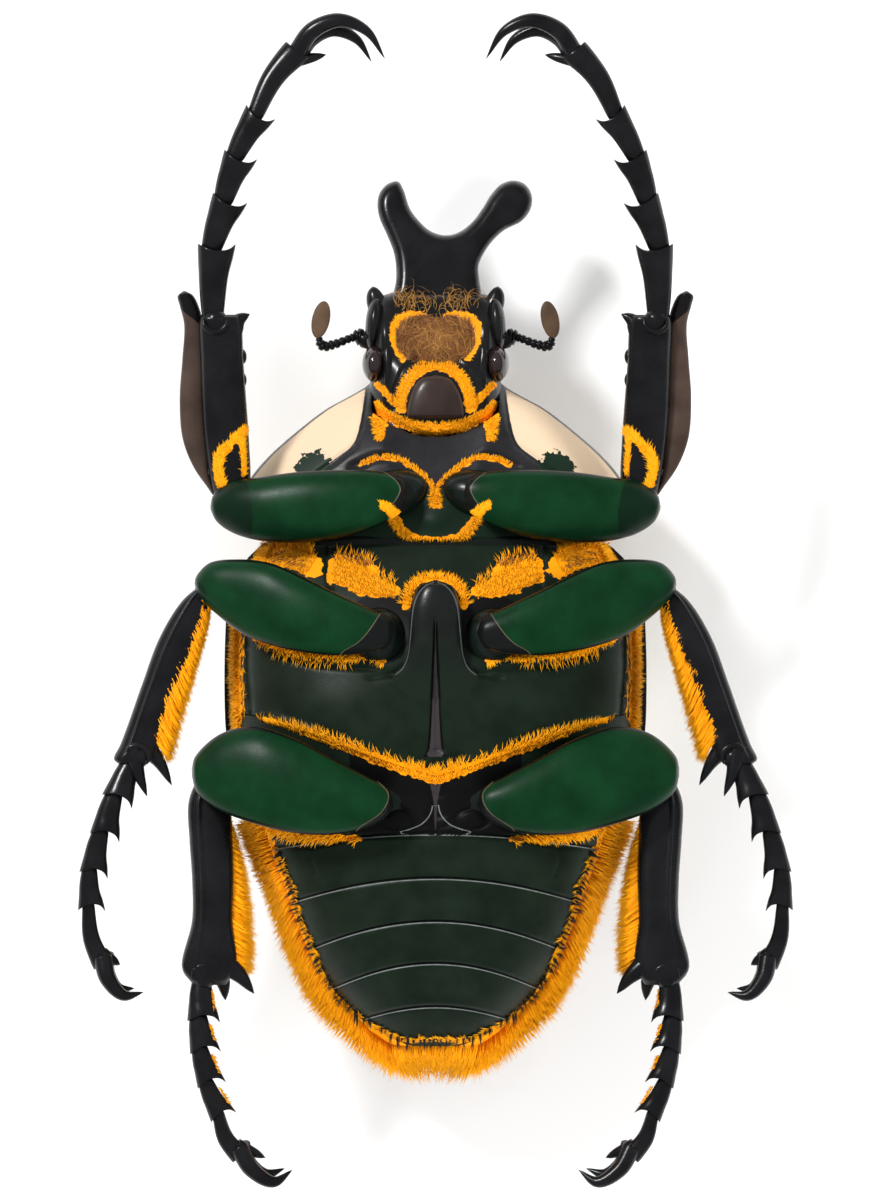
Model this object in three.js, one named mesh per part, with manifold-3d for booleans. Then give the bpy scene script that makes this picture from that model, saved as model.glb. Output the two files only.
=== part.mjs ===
// A male goliath beetle lying on its back, 100 mm long from the tips of its horn to the end of its abdomen.
// Millimetres, +Z up. The head points to +Y and the underside faces up, so the beetle's left side is at +X.
// The wing cases and the shield of the pronotum rest on the floor at Z = 0.
import * as THREE from "three";
import { mergeVertices } from "three/addons/utils/BufferGeometryUtils.js";
import Module from "manifold-3d";

const wasm = await Module();
wasm.setup();

// Driving sizes
const GAP = 0.3; // clearance between neighbouring plates
const CASE_WALL = 0.9; // thickness of a wing case
const SIDES = { left: 1, right: -1 };
const FLOOR = 0;

const COLOURS = {
  shell_black: [0x17181a, 0.3],
  plate_green: [0x16211c, 0.35],
  femur_green: [0x0d3a20, 0.3],
  shield_cream: [0xf0e2c0, 0.6],
  case_brown: [0x3a1d12, 0.55],
  flange_brown: [0x463730, 0.4],
  eye_brown: [0x261b1c, 0.15],
};

// Curves and tables

// A smooth function through [place, value] pairs in rising order of place
function smooth(table) {
  const last = table.length - 1;
  const slope = table.map((_, i) => {
    const a = table[Math.max(i - 1, 0)];
    const b = table[Math.min(i + 1, last)];
    return (b[1] - a[1]) / (b[0] - a[0]);
  });
  return (x) => {
    if (x <= table[0][0]) return table[0][1];
    if (x >= table[last][0]) return table[last][1];
    let i = 0;
    while (x > table[i + 1][0]) i += 1;
    const span = table[i + 1][0] - table[i][0];
    const s = (x - table[i][0]) / span;
    const rise = s * s * (3 - 2 * s);
    const leave = s * (1 - s) * (1 - s) * span * slope[i];
    const arrive = s * s * (s - 1) * span * slope[i + 1];
    return table[i][1] * (1 - rise) + table[i + 1][1] * rise + leave + arrive;
  };
}

const vector = ([x, y, z = 0]) => new THREE.Vector3(x, y, z);
const curve = (points) => new THREE.CatmullRomCurve3(points.map(vector), false, "centripetal");
const power = (value, exponent) => Math.sign(value) * Math.abs(value) ** exponent;

// Solids

// A closed cylinder whose rings are carried to where place(step, angle) says, with step from 0 to along
function form(around, along, place) {
  const geometry = new THREE.CylinderGeometry(1, 1, 1, around, along);
  const position = geometry.attributes.position;
  const middles = [0, along].map((step) => {
    const middle = new THREE.Vector3();
    for (let i = 0; i < around; i += 1) middle.add(place(step, (i / around) * 2 * Math.PI));
    return middle.divideScalar(around);
  });
  for (let i = 0; i < position.count; i += 1) {
    const [x, y, z] = [position.getX(i), position.getY(i), position.getZ(i)];
    const step = Math.round((0.5 - y) * along);
    const ring = Math.hypot(x, z) > 0.5;
    const turn = Math.round((Math.atan2(x, z) / (2 * Math.PI)) * around + around) % around;
    const point = ring ? place(step, (turn / around) * 2 * Math.PI) : middles[step ? 1 : 0];
    position.setXYZ(i, point.x, point.y, point.z);
  }
  return solid(geometry);
}

// A closed mesh as a solid, with faces that have collapsed left out
function solid(geometry) {
  const bare = new THREE.BufferGeometry().setAttribute("position", geometry.attributes.position);
  bare.setIndex(geometry.index);
  const merged = mergeVertices(bare, 1e-4);
  const index = merged.index.array;
  const kept = [];
  for (let i = 0; i < index.length; i += 3) {
    const [a, b, c] = [index[i], index[i + 1], index[i + 2]];
    if (a !== b && b !== c && c !== a) kept.push([a, b, c]);
  }
  const build = (faces) =>
    new wasm.Manifold(
      new wasm.Mesh({
        numProp: 3,
        vertProperties: new Float32Array(merged.attributes.position.array),
        triVerts: new Uint32Array(faces.flat()),
      }),
    );
  const made = build(kept);
  return made.volume() > 0 ? made : build(kept.map(([a, b, c]) => [a, c, b]));
}

// A flat-bottomed block over an outline on the XY plane
function prism(outline, low, high) {
  const shape = new THREE.Shape(outline.map(([x, y]) => new THREE.Vector2(x, y)));
  const geometry = new THREE.ExtrudeGeometry(shape, { depth: high - low, bevelEnabled: false });
  return solid(geometry.translate(0, 0, low));
}

// A rounded blade between two edge curves seen from above, with its height and half-thickness along it
function blade(spec, grow = 0) {
  const [front, back] = [curve(spec.front), curve(spec.back)];
  const [level, thick] = [smooth(spec.level), smooth(spec.thick)];
  const flat = 2 / (spec.power ?? 2);
  const middle = (t) => front.getPoint(t).add(back.getPoint(t)).multiplyScalar(0.5);
  return form(spec.around, spec.along, (step, angle) => {
    const t = step / spec.along;
    const inside = Math.min(Math.max(t, 0.04), 0.96);
    const across = front.getPoint(inside).sub(back.getPoint(inside)).setZ(0).normalize();
    const half = front.getPoint(t).distanceTo(back.getPoint(t)) / 2 + grow;
    const ahead = middle(Math.min(t + 0.02, 1)).sub(middle(Math.max(t - 0.02, 0))).normalize();
    const end = step === 0 ? -grow : step === spec.along ? grow : 0;
    return middle(t)
      .addScaledVector(across, half * power(Math.cos(angle), flat))
      .addScaledVector(ahead, end)
      .setZ(level(t) + (thick(t) + grow) * power(Math.sin(angle), flat));
  });
}

// A round rod along a curve with its radius along it
function rod(spec, grow = 0) {
  const path = curve(spec.path);
  const radius = smooth(spec.radius);
  return form(spec.around, spec.along, (step, angle) => {
    const t = step / spec.along;
    const ahead = path.getTangent(t);
    const side = new THREE.Vector3(0, 0, 1).cross(ahead).normalize();
    const up = ahead.clone().cross(side);
    const end = step === 0 ? -grow : step === spec.along ? grow : 0;
    return path
      .getPoint(t)
      .addScaledVector(side, (radius(t) + grow) * Math.cos(angle))
      .addScaledVector(up, (radius(t) + grow) * Math.sin(angle) * (spec.flatten ?? 1))
      .addScaledVector(ahead, end);
  });
}

// A trunk of the body: a section at each station, with its widest line at the height of the rim
function trunk(spec, grow = 0, inset = 0) {
  const last = spec.stations.length - 1;
  const [over, under] = [2 / spec.over, 2 / spec.under];
  return form(spec.around, last, (step, angle) => {
    const y = spec.stations[step];
    const rim = spec.rim(y);
    const width = Math.max(spec.half(y) - inset + grow, 0);
    const [s, c] = [Math.sin(angle), Math.cos(angle)];
    const rise = Math.max(spec.high(y) - rim + grow, 0);
    const drop = Math.max(rim - spec.low(y) - inset + grow, 0);
    const end = step === 0 ? grow : step === last ? -grow : 0;
    return new THREE.Vector3(
      width * power(c, s >= 0 ? over : under),
      y + end,
      rim + (s >= 0 ? rise * power(s, over) : drop * power(s, under)),
    );
  });
}

// An egg with three half-sizes, turned in plan by some degrees
function egg(centre, sizes, turn = 0, around = 10, along = 8, grow = 0) {
  const geometry = new THREE.SphereGeometry(1, around, along);
  geometry.scale(sizes[0] + grow, sizes[1] + grow, sizes[2] + grow);
  geometry.rotateZ((turn * Math.PI) / 180);
  return solid(geometry.translate(...centre));
}

// The same point list on the other side of the beetle
const onSide = (side, points) => points.map(([x, ...rest]) => [x * side, ...rest]);
const sided = (side, spec) => ({
  ...spec,
  ...(spec.front && { front: onSide(side, spec.front), back: onSide(side, spec.back) }),
  ...(spec.path && { path: onSide(side, spec.path) }),
});
const joined = (pieces) => pieces.reduce((a, b) => a.add(b));
const largest = (whole) =>
  whole.decompose().reduce((a, b) => (a.volume() > b.volume() ? a : b));

// The scene graph
const beetle = new THREE.Group();
beetle.name = "goliath_beetle";

function addNode(name, body, colour) {
  const mesh = largest(body).getMesh();
  const geometry = new THREE.BufferGeometry();
  geometry.setAttribute("position", new THREE.BufferAttribute(mesh.vertProperties, 3));
  geometry.setIndex(new THREE.BufferAttribute(mesh.triVerts, 1));
  const [tint, roughness] = COLOURS[colour];
  const material = new THREE.MeshStandardMaterial({ color: tint, roughness, metalness: 0 });
  const node = new THREE.Mesh(geometry, material);
  node.name = name;
  beetle.add(node);
}

// Hind body: wing cases below, thorax and abdomen above

const BASE = 6.2; // where the wing cases begin, behind the pronotum
const caseHalf = smooth([
  [-51.4, 0],
  [-50.6, 4.2],
  [-48.5, 8.0],
  [-44, 12.4],
  [-39, 15.6],
  [-34, 17.7],
  [-29, 19.5],
  [-24, 21.2],
  [-19, 22.7],
  [-13, 23.5],
  [-0.5, 23.3],
  [2.2, 22.6],
  [4.4, 21.2],
  [BASE, 19.4],
]);
const caseRim = smooth([
  [-51.4, 12.6],
  [-46, 13.4],
  [-38, 15.2],
  [-30, 16.2],
  [-22, 16.5],
  [BASE, 16.5],
]);
const caseLow = smooth([
  [-51.4, 12.4],
  [-50.2, 10.2],
  [-47, 7.0],
  [-42, 3.8],
  [-36, 1.5],
  [-30, 0.2],
  [-24, -0.4],
  [-4, -0.4],
  [2, 0],
  [BASE, 1.6],
]);
const coreHigh = smooth([
  [-51.4, 12.8],
  [-50.2, 16.6],
  [-48.6, 19.4],
  [-45, 22.4],
  [-40, 25.0],
  [-35, 26.5],
  [-30, 27.2],
  [-22, 27.6],
  [-18, 29.4],
  [-12, 30.4],
  [-5, 30.0],
  [0, 28.5],
  [3, 27.0],
  [BASE, 25.2],
]);
const HIND_BODY = {
  half: caseHalf,
  rim: caseRim,
  low: caseLow,
  high: coreHigh,
  over: 2.3,
  under: 2.4,
  around: 24,
};
const CASE_STATIONS = [BASE, 4.4, 2, -3, -10, -18, -25, -32, -38, -43, -46.5, -49, -50.6, -51.4];
const CORE_STATIONS = [BASE - 0.1, 4.4, 2, -3, -10, -18, -25, -32, -38, -43, -46.5, -48.8, -50.2];

const core = (grow = 0) =>
  trunk({ ...HIND_BODY, stations: CORE_STATIONS }, grow, CASE_WALL + GAP);
const caseDome = trunk({ ...HIND_BODY, stations: CASE_STATIONS, high: caseRim });

// Fore body

const NECK = 24.5; // front edge of the pronotum
const SHIELD_END = 6.6; // hind edge of the pronotum
const shieldHalf = smooth([
  [SHIELD_END, 19.6],
  [8.9, 21.1],
  [11.1, 21.7],
  [13.3, 20.9],
  [16, 18.7],
  [18.6, 15.8],
  [21.3, 12.3],
  [22.8, 9.6],
  [23.8, 7.9],
  [NECK, 7.2],
]);
const SHIELD = {
  half: shieldHalf,
  rim: smooth([
    [SHIELD_END, 15.4],
    [12, 14.6],
    [NECK, 13.4],
  ]),
  low: smooth([
    [SHIELD_END, 1.0],
    [9, -0.3],
    [14, -0.4],
    [16.5, 0.2],
    [19.5, 2.0],
    [22.5, 4.6],
    [NECK, 7.0],
  ]),
  high: smooth([
    [SHIELD_END, 24.6],
    [11, 24.2],
    [16, 23.2],
    [20, 21.4],
    [NECK, 18.6],
  ]),
  over: 2.0,
  under: 2.3,
  around: 24,
  stations: [NECK, 23.8, 22.4, 20.4, 18, 15.4, 12.8, 10.6, 8.4, SHIELD_END],
};
const shieldWhole = trunk(SHIELD);
const STERNUM_EDGE = [
  [7.4, 26],
  [7.7, 22.6],
  [8.2, 19.4],
  [9.0, 17.2],
  [11.0, 15.6],
  [13.2, 14.0],
  [14.0, 11.0],
  [13.0, 6.0],
];
const sternumRegion = (grow, low) =>
  prism(
    [
      ...STERNUM_EDGE.map(([x, y]) => [x + grow, y]),
      ...STERNUM_EDGE.map(([x, y]) => [-x - grow, y]).reverse(),
    ],
    low,
    30,
  );

const HEAD = {
  half: smooth([
    [17.9, 4.4],
    [18.6, 6.2],
    [20, 7.1],
    [22, 7.5],
    [25, 7.3],
    [27.5, 7.5],
    [30.6, 7.8],
    [32.4, 7.6],
    [33.6, 7.0],
    [34.5, 5.0],
  ]),
  rim: smooth([
    [17.9, 14.6],
    [34.5, 14.4],
  ]),
  low: smooth([
    [17.9, 10.0],
    [20, 8.8],
    [26, 8.4],
    [31, 9.6],
    [34.5, 12.2],
  ]),
  high: smooth([
    [17.9, 19.4],
    [19, 20.9],
    [23, 21.2],
    [27, 20.4],
    [31, 19.2],
    [34.5, 16.6],
  ]),
  over: 2.5,
  under: 2.5,
  around: 20,
  stations: [34.5, 33.6, 32.2, 30, 26, 22, 20, 18.6, 17.9],
};
const BROW_TOOTH = { path: [[5.8, 32.6, 15], [6.6, 33.8, 15.3], [7.0, 35.0, 15.8]] };
const browTooth = (side) =>
  rod({ ...sided(side, BROW_TOOTH), radius: [[0, 1.3], [0.7, 0.85], [1, 0.3]], around: 8, along: 3 });
const headShape = (grow = 0) => trunk(HEAD, grow);

// The horn: a flat Y that grows from the front of the head and dips towards the floor
const HORN_OUTLINE = [
  [0.2, 33.2],
  [-4.9, 33.4],
  [-4.4, 35.9],
  [-4.6, 38.6],
  [-5.4, 40.8],
  [-6.2, 42.6],
  [-6.5, 44.1],
  [-6.3, 45.5],
  [-5.4, 46.6],
  [-4.2, 46.9],
  [-3.6, 46.0],
  [-2.9, 43.9],
  [-2.0, 42.6],
  [-0.6, 41.3],
  [1.1, 40.8],
  [2.7, 41.2],
  [4.2, 42.4],
  [5.3, 43.9],
  [6.3, 45.5],
  [7.4, 46.6],
  [8.8, 47.0],
  [10.1, 46.5],
  [10.8, 45.2],
  [10.6, 43.7],
  [9.6, 42.4],
  [7.7, 41.4],
  [6.3, 40.1],
  [5.3, 38.6],
  [4.8, 37.3],
  [4.9, 35.9],
  [5.3, 33.4],
];
const HORN_HALF = 1.3; // half-thickness of the horn
const HORN_BEVEL = 0.8; // rounding of its edges
const HORN_TOP = 15.2; // height of its middle at the root
const HORN_DIP = 0.22; // drop for each millimetre forward

function hornShape() {
  const outline = HORN_OUTLINE.map(([x, y]) => new THREE.Vector2(x, y));
  const shape = new THREE.Shape(outline);
  const geometry = new THREE.ExtrudeGeometry(shape, {
    depth: 2 * (HORN_HALF - HORN_BEVEL),
    bevelThickness: HORN_BEVEL,
    bevelSize: HORN_BEVEL,
    bevelOffset: -HORN_BEVEL,
    bevelSegments: 2,
  });
  const position = geometry.attributes.position;
  for (let i = 0; i < position.count; i += 1) {
    const forward = position.getY(i) - HORN_OUTLINE[0][1];
    position.setZ(i, position.getZ(i) - (HORN_HALF - HORN_BEVEL) + HORN_TOP - HORN_DIP * forward);
  }
  return solid(geometry);
}

// Legs. Points are distances from the midline and heights are above the floor.

const LEGS = {
  front: {
    coxa: { centre: [5.0, 11.0, 22.9], sizes: [4.4, 3.4, 3.2], turn: -12 },
    femur: {
      front: [
        [3.2, 12.0], [3.6, 13.5], [6.0, 14.2], [9.5, 14.4], [15.0, 14.2], [19.5, 13.6],
        [23.0, 12.8], [24.8, 10.6], [25.0, 10.0],
      ],
      back: [
        [3.2, 11.6], [3.8, 9.9], [6.2, 8.3], [9.5, 7.1], [14.0, 6.4], [19.0, 6.5],
        [22.4, 7.5], [24.4, 9.0], [25.0, 9.8],
      ],
      level: [[0, 26.6], [0.4, 26.3], [0.6, 24.9], [0.8, 22.7], [1, 21.6]],
      thick: [[0, 0.1], [0.12, 1.5], [0.4, 2.4], [0.65, 2.4], [0.85, 1.9], [0.95, 1.3], [1, 0.2]],
    },
    tibia: {
      front: [
        [21.2, 10.6], [20.6, 12.8], [20.7, 17.7], [21.0, 22.2], [21.3, 26.6], [21.5, 30.6],
        [21.8, 31.6],
      ],
      back: [
        [24.2, 10.6], [24.9, 12.8], [25.7, 17.7], [26.0, 22.2], [26.1, 26.6], [26.2, 30.6],
        [26.0, 31.6],
      ],
      level: [[0, 21.4], [0.3, 22.2], [1, 24.2]],
      thick: [[0, 1.0], [0.15, 1.7], [0.8, 1.9], [0.94, 1.6], [1, 0.9]],
    },
    flare: 2.1,
    tarsus: [
      [24.4, 31.0, 24.2], [24.6, 38.6, 25.6], [23.3, 43.8, 26.2], [22.1, 48.6, 26.6],
      [20.0, 53.4, 26.6], [15.2, 60.6, 25.8],
    ],
    claws: [
      {
        path: [
          [15.6, 60.2, 25.8], [13.6, 63.0, 26.6], [10.6, 64.1, 27.0], [7.6, 62.9, 26.8],
          [5.6, 59.9, 26.2],
        ],
      },
      {
        path: [
          [15.4, 60.0, 25.6], [13.8, 62.2, 25.0], [11.4, 63.2, 24.4], [8.8, 62.2, 24.0],
          [7.1, 59.7, 23.8],
        ],
      },
    ],
  },
  middle: {
    coxa: { centre: [6.2, -4.0, 28.2], sizes: [3.2, 3.2, 2.8], turn: 0 },
    femur: {
      front: [
        [4.6, -3.6], [5.2, -2.6], [7.4, -1.6], [11.7, -0.2], [16.1, 1.9], [21.1, 4.1],
        [25.2, 4.0], [26.5, 2.4], [26.7, 1.8],
      ],
      back: [
        [4.6, -3.9], [5.4, -5.4], [8.0, -6.2], [11.6, -6.4], [16.1, -5.6], [20.6, -4.1],
        [23.6, -2.2], [26.0, 0.2], [26.6, 1.4],
      ],
      level: [[0, 31.2], [0.3, 30.9], [0.55, 29.2], [0.75, 26.8], [1, 24.6]],
      thick: [[0, 0.1], [0.12, 1.5], [0.4, 2.3], [0.65, 2.3], [0.85, 1.9], [0.95, 1.3], [1, 0.2]],
    },
    tibia: {
      front: [
        [25.7, 1.9], [28.0, 0.0], [30.5, -4.0], [32.5, -9.3], [34.0, -13.6], [35.5, -17.2],
        [34.6, -18.3],
      ],
      back: [
        [24.7, 1.3], [25.0, -0.9], [26.6, -5.4], [28.5, -10.3], [30.0, -14.4],
        [30.9, -17.2], [32.0, -18.2],
      ],
      level: [[0, 24.4], [0.3, 24.8], [1, 26.2]],
      thick: [[0, 0.8], [0.15, 1.5], [0.8, 1.8], [0.94, 1.4], [1, 0.8]],
    },
    flare: 1.8,
    tarsus: [
      [33.0, -17.4, 26.2], [35.2, -21.4, 26.6], [36.7, -25.4, 26.4], [38.0, -29.6, 25.8],
      [38.4, -33.6, 25.0], [36.6, -40.4, 23.4],
    ],
    claws: [
      { path: [[36.9, -39.6, 23.8], [36.3, -42.0, 24.3], [34.6, -43.8, 24.4], [32.4, -43.5, 24.0]] },
      { path: [[36.7, -39.4, 23.0], [36.5, -41.4, 22.0], [35.3, -43.1, 21.2], [33.5, -43.2, 20.8]] },
    ],
  },
  hind: {
    coxa: { centre: [10.2, -20.6, 25.2], sizes: [10.2, 3.9, 3.0], turn: 10 },
    femur: {
      front: [
        [4.6, -22.6], [5.2, -20.8], [7.6, -19.4], [11.4, -17.4], [15.6, -15.2],
        [20.0, -14.0], [23.8, -14.8], [26.6, -17.3], [27.0, -18.6],
      ],
      back: [
        [4.6, -22.9], [5.8, -24.2], [8.4, -25.4], [12.0, -25.9], [16.3, -25.6],
        [20.6, -24.5], [24.2, -23.1], [26.4, -21.3], [27.0, -19.6],
      ],
      level: [[0, 30.0], [0.3, 30.2], [0.55, 29.2], [0.75, 27.0], [1, 24.8]],
      thick: [[0, 0.1], [0.12, 1.6], [0.4, 2.5], [0.65, 2.6], [0.85, 2.2], [0.95, 1.5], [1, 0.2]],
    },
    tibia: {
      front: [
        [26.3, -19.4], [27.4, -22.4], [27.3, -26.6], [27.0, -31.0], [27.0, -35.5],
        [27.9, -40.6], [26.6, -42.7],
      ],
      back: [
        [23.8, -19.4], [23.2, -22.4], [22.9, -26.6], [22.7, -31.0], [22.8, -35.5],
        [22.2, -40.6], [23.4, -42.6],
      ],
      level: [[0, 22.6], [0.3, 23.4], [1, 24.6]],
      thick: [[0, 0.8], [0.15, 1.6], [0.8, 1.9], [0.94, 1.5], [1, 0.8]],
    },
    flare: 1.8,
    tarsus: [
      [25.6, -41.8, 24.6], [26.0, -45.9, 24.8], [25.9, -49.4, 24.6], [25.3, -53.1, 24.0],
      [24.1, -56.8, 23.2], [21.4, -61.6, 21.8],
    ],
    claws: [
      { path: [[21.8, -60.8, 22.2], [20.4, -63.2, 22.6], [18.0, -64.6, 22.6], [15.9, -63.3, 22.2]] },
      { path: [[21.6, -60.6, 21.4], [20.8, -62.6, 20.4], [18.9, -63.9, 19.6], [16.8, -63.3, 19.2]] },
    ],
  },
};

// Pointed spurs at the end of each shin, and the teeth along the inner edge of the front one
const SPURS = {
  front: [
    {
      path: [[22.4, 30.0, 24.0], [21.6, 31.0, 24.1], [20.6, 31.7, 24.3]],
      radius: [[0, 1.1], [0.5, 0.7], [1, 0.12]],
    },
    {
      path: [[26.4, 30.0, 23.6], [28.0, 32.6, 23.8], [28.5, 34.0, 24.0]],
      radius: [[0, 1.0], [0.6, 0.8], [1, 0.3]],
    },
    ...[16.4, 20.2, 24.0].map((y) => ({
      path: [[21.4, y, 22.6], [20.9, y + 0.5, 22.7], [20.5, y + 1.0, 22.8]],
      radius: [[0, 0.9], [0.6, 0.6], [1, 0.25]],
    })),
  ],
  middle: [
    {
      path: [[33.4, -16.6, 26.6], [32.9, -19.6, 27.0], [31.8, -22.4, 27.0]],
      radius: [[0, 1.0], [0.5, 0.65], [1, 0.1]],
    },
    {
      path: [[31.6, -16.6, 25.8], [30.4, -18.4, 25.8], [29.2, -21.6, 25.6]],
      radius: [[0, 1.1], [0.5, 0.75], [1, 0.1]],
    },
  ],
  hind: [
    {
      path: [[23.4, -40.6, 24.6], [21.6, -41.6, 24.8], [20.2, -43.2, 24.8]],
      radius: [[0, 1.2], [0.5, 0.75], [1, 0.1]],
    },
    {
      path: [[24.0, -41.2, 23.8], [23.5, -42.6, 23.6], [23.2, -44.0, 23.4]],
      radius: [[0, 1.0], [0.5, 0.7], [1, 0.12]],
    },
  ],
};
// The wide brown flange on the outer side of a male's front shin
const FLANGE = {
  front: [
    [24.3, 11.4], [25.2, 14.2], [25.4, 18.2], [25.6, 22.4], [25.6, 26.8], [25.8, 31.0],
    [27.4, 33.4],
  ],
  back: [
    [24.8, 11.8], [26.9, 14.8], [28.1, 18.0], [28.4, 22.4], [28.1, 26.8], [27.9, 31.0],
    [28.6, 33.6],
  ],
  level: [[0, 21.6], [0.3, 22.2], [1, 23.8]],
  thick: [[0, 0.5], [0.5, 0.7], [1, 0.3]],
  around: 6,
  along: 6,
};
const FEMUR_GRID = { around: 12, along: 9 };
const TIBIA_GRID = { around: 10, along: 7, power: 2.6 };

// A foot of five joints in a row, each narrow at its root and flared at its far end
const JOINT_RINGS = [0.02, 0.55, 0.97]; // where each joint's rings are along it
const JOINT_WIDTHS = [0.5, 0.8, 1]; // their widths, against the flare

function foot(leg, side, grow = 0) {
  const joints = leg.tarsus.map(([x, y, z]) => vector([x * side, y, z]));
  const count = joints.length - 1;
  const rings = JOINT_RINGS.length;
  const inner = leg === LEGS.front ? side : -side;
  return form(6, count * rings - 1, (step, angle) => {
    const joint = Math.floor(step / rings);
    const ring = step % rings;
    const ahead = joints[joint + 1].clone().sub(joints[joint]);
    const across = new THREE.Vector3(0, 0, 1).cross(ahead.clone().setZ(0).normalize());
    const flare = joint === count - 1 ? 1.3 : leg.flare - 0.1 * joint;
    const half = flare * JOINT_WIDTHS[ring] + grow;
    const corner = ring === rings - 1 ? Math.max(Math.cos(angle) * inner, 0) : 0;
    const end = step === count * rings - 1 ? grow : 0;
    return joints[joint]
      .clone()
      .addScaledVector(ahead, JOINT_RINGS[ring])
      .addScaledVector(across, half * Math.cos(angle) + 0.3 * corner * inner)
      .addScaledVector(ahead.normalize(), 0.8 * corner + end)
      .add(new THREE.Vector3(0, 0, half * Math.sin(angle) * 0.75));
  });
}

const clawShape = (side, claw, grow = 0) =>
  rod({ ...sided(side, claw), radius: [
    [0, 1.05], [0.3, 0.95], [0.7, 0.6], [1, 0.08],
  ], around: 5, along: 5 }, grow);

function legParts(side) {
  return Object.fromEntries(
    Object.entries(LEGS).map(([pair, leg]) => {
      const femur = (grow) => blade(sided(side, { ...leg.femur, ...FEMUR_GRID }), grow);
      const tibiaSpec = sided(side, { ...leg.tibia, ...TIBIA_GRID });
      const spurs = (grow) =>
        SPURS[pair].map((spur) => rod({ ...sided(side, spur), around: 5, along: 2 }, grow));
      const shin = SHIN_FRINGES[pair];
      const trim = shin
        ? fringe({ ...shin, roots: onSide(side, shin.roots), tips: onSide(side, shin.tips) })
        : [blade(sided(side, FLANGE))];
      const { centre, sizes, turn } = leg.coxa;
      const coxa = (grow) =>
        egg([centre[0] * side, centre[1], centre[2]], sizes, turn * side, 12, 6, grow);
      return [pair, {
        femur,
        coxa,
        tibia: (grow) => joined([blade(tibiaSpec, grow), ...spurs(grow), ...(grow ? [] : trim)]),
        foot: foot(leg, side),
        footEnd: foot(leg, side, GAP),
        claws: joined(leg.claws.map((claw) => clawShape(side, claw))),
      }];
    }),
  );
}

// Fringes of flat, tapered locks of bristles

const LOCK_THICK = 0.7;
// The same run of numbers between 0 and 1 each time
function chance() {
  let state = 7;
  return () => {
    state = (state * 16807) % 2147483647;
    return state / 2147483647;
  };
}

// One lock from its root to its tip, in millimetres, bowed upwards by lift
function lock(root, tip, width, lift, grow) {
  const [from, to] = [vector(root), vector(tip)];
  const ahead = to.clone().sub(from);
  const across = new THREE.Vector3(0, 0, 1).cross(ahead).normalize();
  const rings = [[0, 0.9, 0], [0.5, 1, 1], [1, 0.12, 0]];
  return form(4, 2, (step, angle) => {
    const [t, share, bow] = rings[step];
    return from
      .clone()
      .addScaledVector(ahead, t)
      .addScaledVector(across, ((width / 2) * share + grow) * Math.cos(angle))
      .add(new THREE.Vector3(0, 0, lift * bow + ((LOCK_THICK / 2) * share + grow) * Math.sin(angle)));
  });
}

// Locks spread evenly from a row of roots to a row of tips, each row a curve
function fringe({ roots, tips, count, width, lift }, grow = 0) {
  const [from, to] = [curve(roots), curve(tips)];
  const random = chance();
  return Array.from({ length: count }, (_, i) => {
    const t = (i + 0.5 + 0.3 * (random() - 0.5)) / count;
    const root = from.getPoint(t);
    const tip = to.getPoint(t).lerp(root, 0.16 * random());
    return lock(root.toArray(), tip.toArray(), width * (0.85 + 0.3 * random()), lift, grow);
  });
}

const SHIN_FRINGES = {
  middle: {
    roots: [
      [25.6, 0.6, 24.8], [25.9, -1.8, 25.0], [27.5, -5.6, 25.2], [29.2, -9.9, 25.6],
      [31.0, -15.6, 26.0],
    ],
    tips: [
      [24.6, -0.8, 24.6], [25.0, -3.4, 24.6], [26.1, -7.6, 24.8], [27.7, -12.6, 25.2],
      [29.2, -17.8, 25.6],
    ],
    count: 7,
    width: 2.8,
    lift: 0.3,
  },
  hind: {
    roots: [
      [24.2, -22.6, 23.0], [23.7, -26.6, 23.2], [23.5, -31.0, 23.6], [23.5, -35.5, 24.0],
      [23.3, -39.6, 24.4],
    ],
    tips: [
      [22.2, -25.4, 22.6], [21.2, -28.8, 22.8], [20.6, -33.0, 23.2], [20.5, -37.4, 23.6],
      [20.8, -41.0, 24.0],
    ],
    count: 7,
    width: 2.8,
    lift: 0.3,
  },
};
const TAIL_FRINGE = {
  roots: [
    [18.4, -24.6], [17.4, -29.2], [15.6, -33.4], [13.6, -37.4], [11.2, -41.4],
    [8.2, -44.8], [4.4, -46.8], [0.6, -47.4],
  ],
  tips: [
    [21.8, -26.2], [20.2, -31.0], [18.2, -36.0], [16.2, -40.8], [13.2, -45.8],
    [9.6, -49.6], [5.4, -52.3], [0.8, -53.2],
  ],
  count: 17,
};
const TAIL_TIP_RISE = 1.6; // height of the tips over the rim of the wing cases
const shownCore = (x, y) => {
  const width = Math.max(caseHalf(y) - CASE_WALL - GAP, 0.1);
  const share = Math.min(Math.abs(x) / width, 0.999) ** HIND_BODY.over;
  return caseRim(y) + (coreHigh(y) - caseRim(y)) * (1 - share) ** (1 / HIND_BODY.over);
};
function tailFringe(side, grow = 0) {
  const roots = TAIL_FRINGE.roots.map(([x, y]) => [x * side, y, shownCore(x, y) - 0.5]);
  const tips = TAIL_FRINGE.tips.map(([x, y]) => [x * side, y, caseRim(y) + TAIL_TIP_RISE]);
  return fringe({ ...TAIL_FRINGE, roots, tips, width: 2.3, lift: 0.7 }, grow);
}

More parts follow.
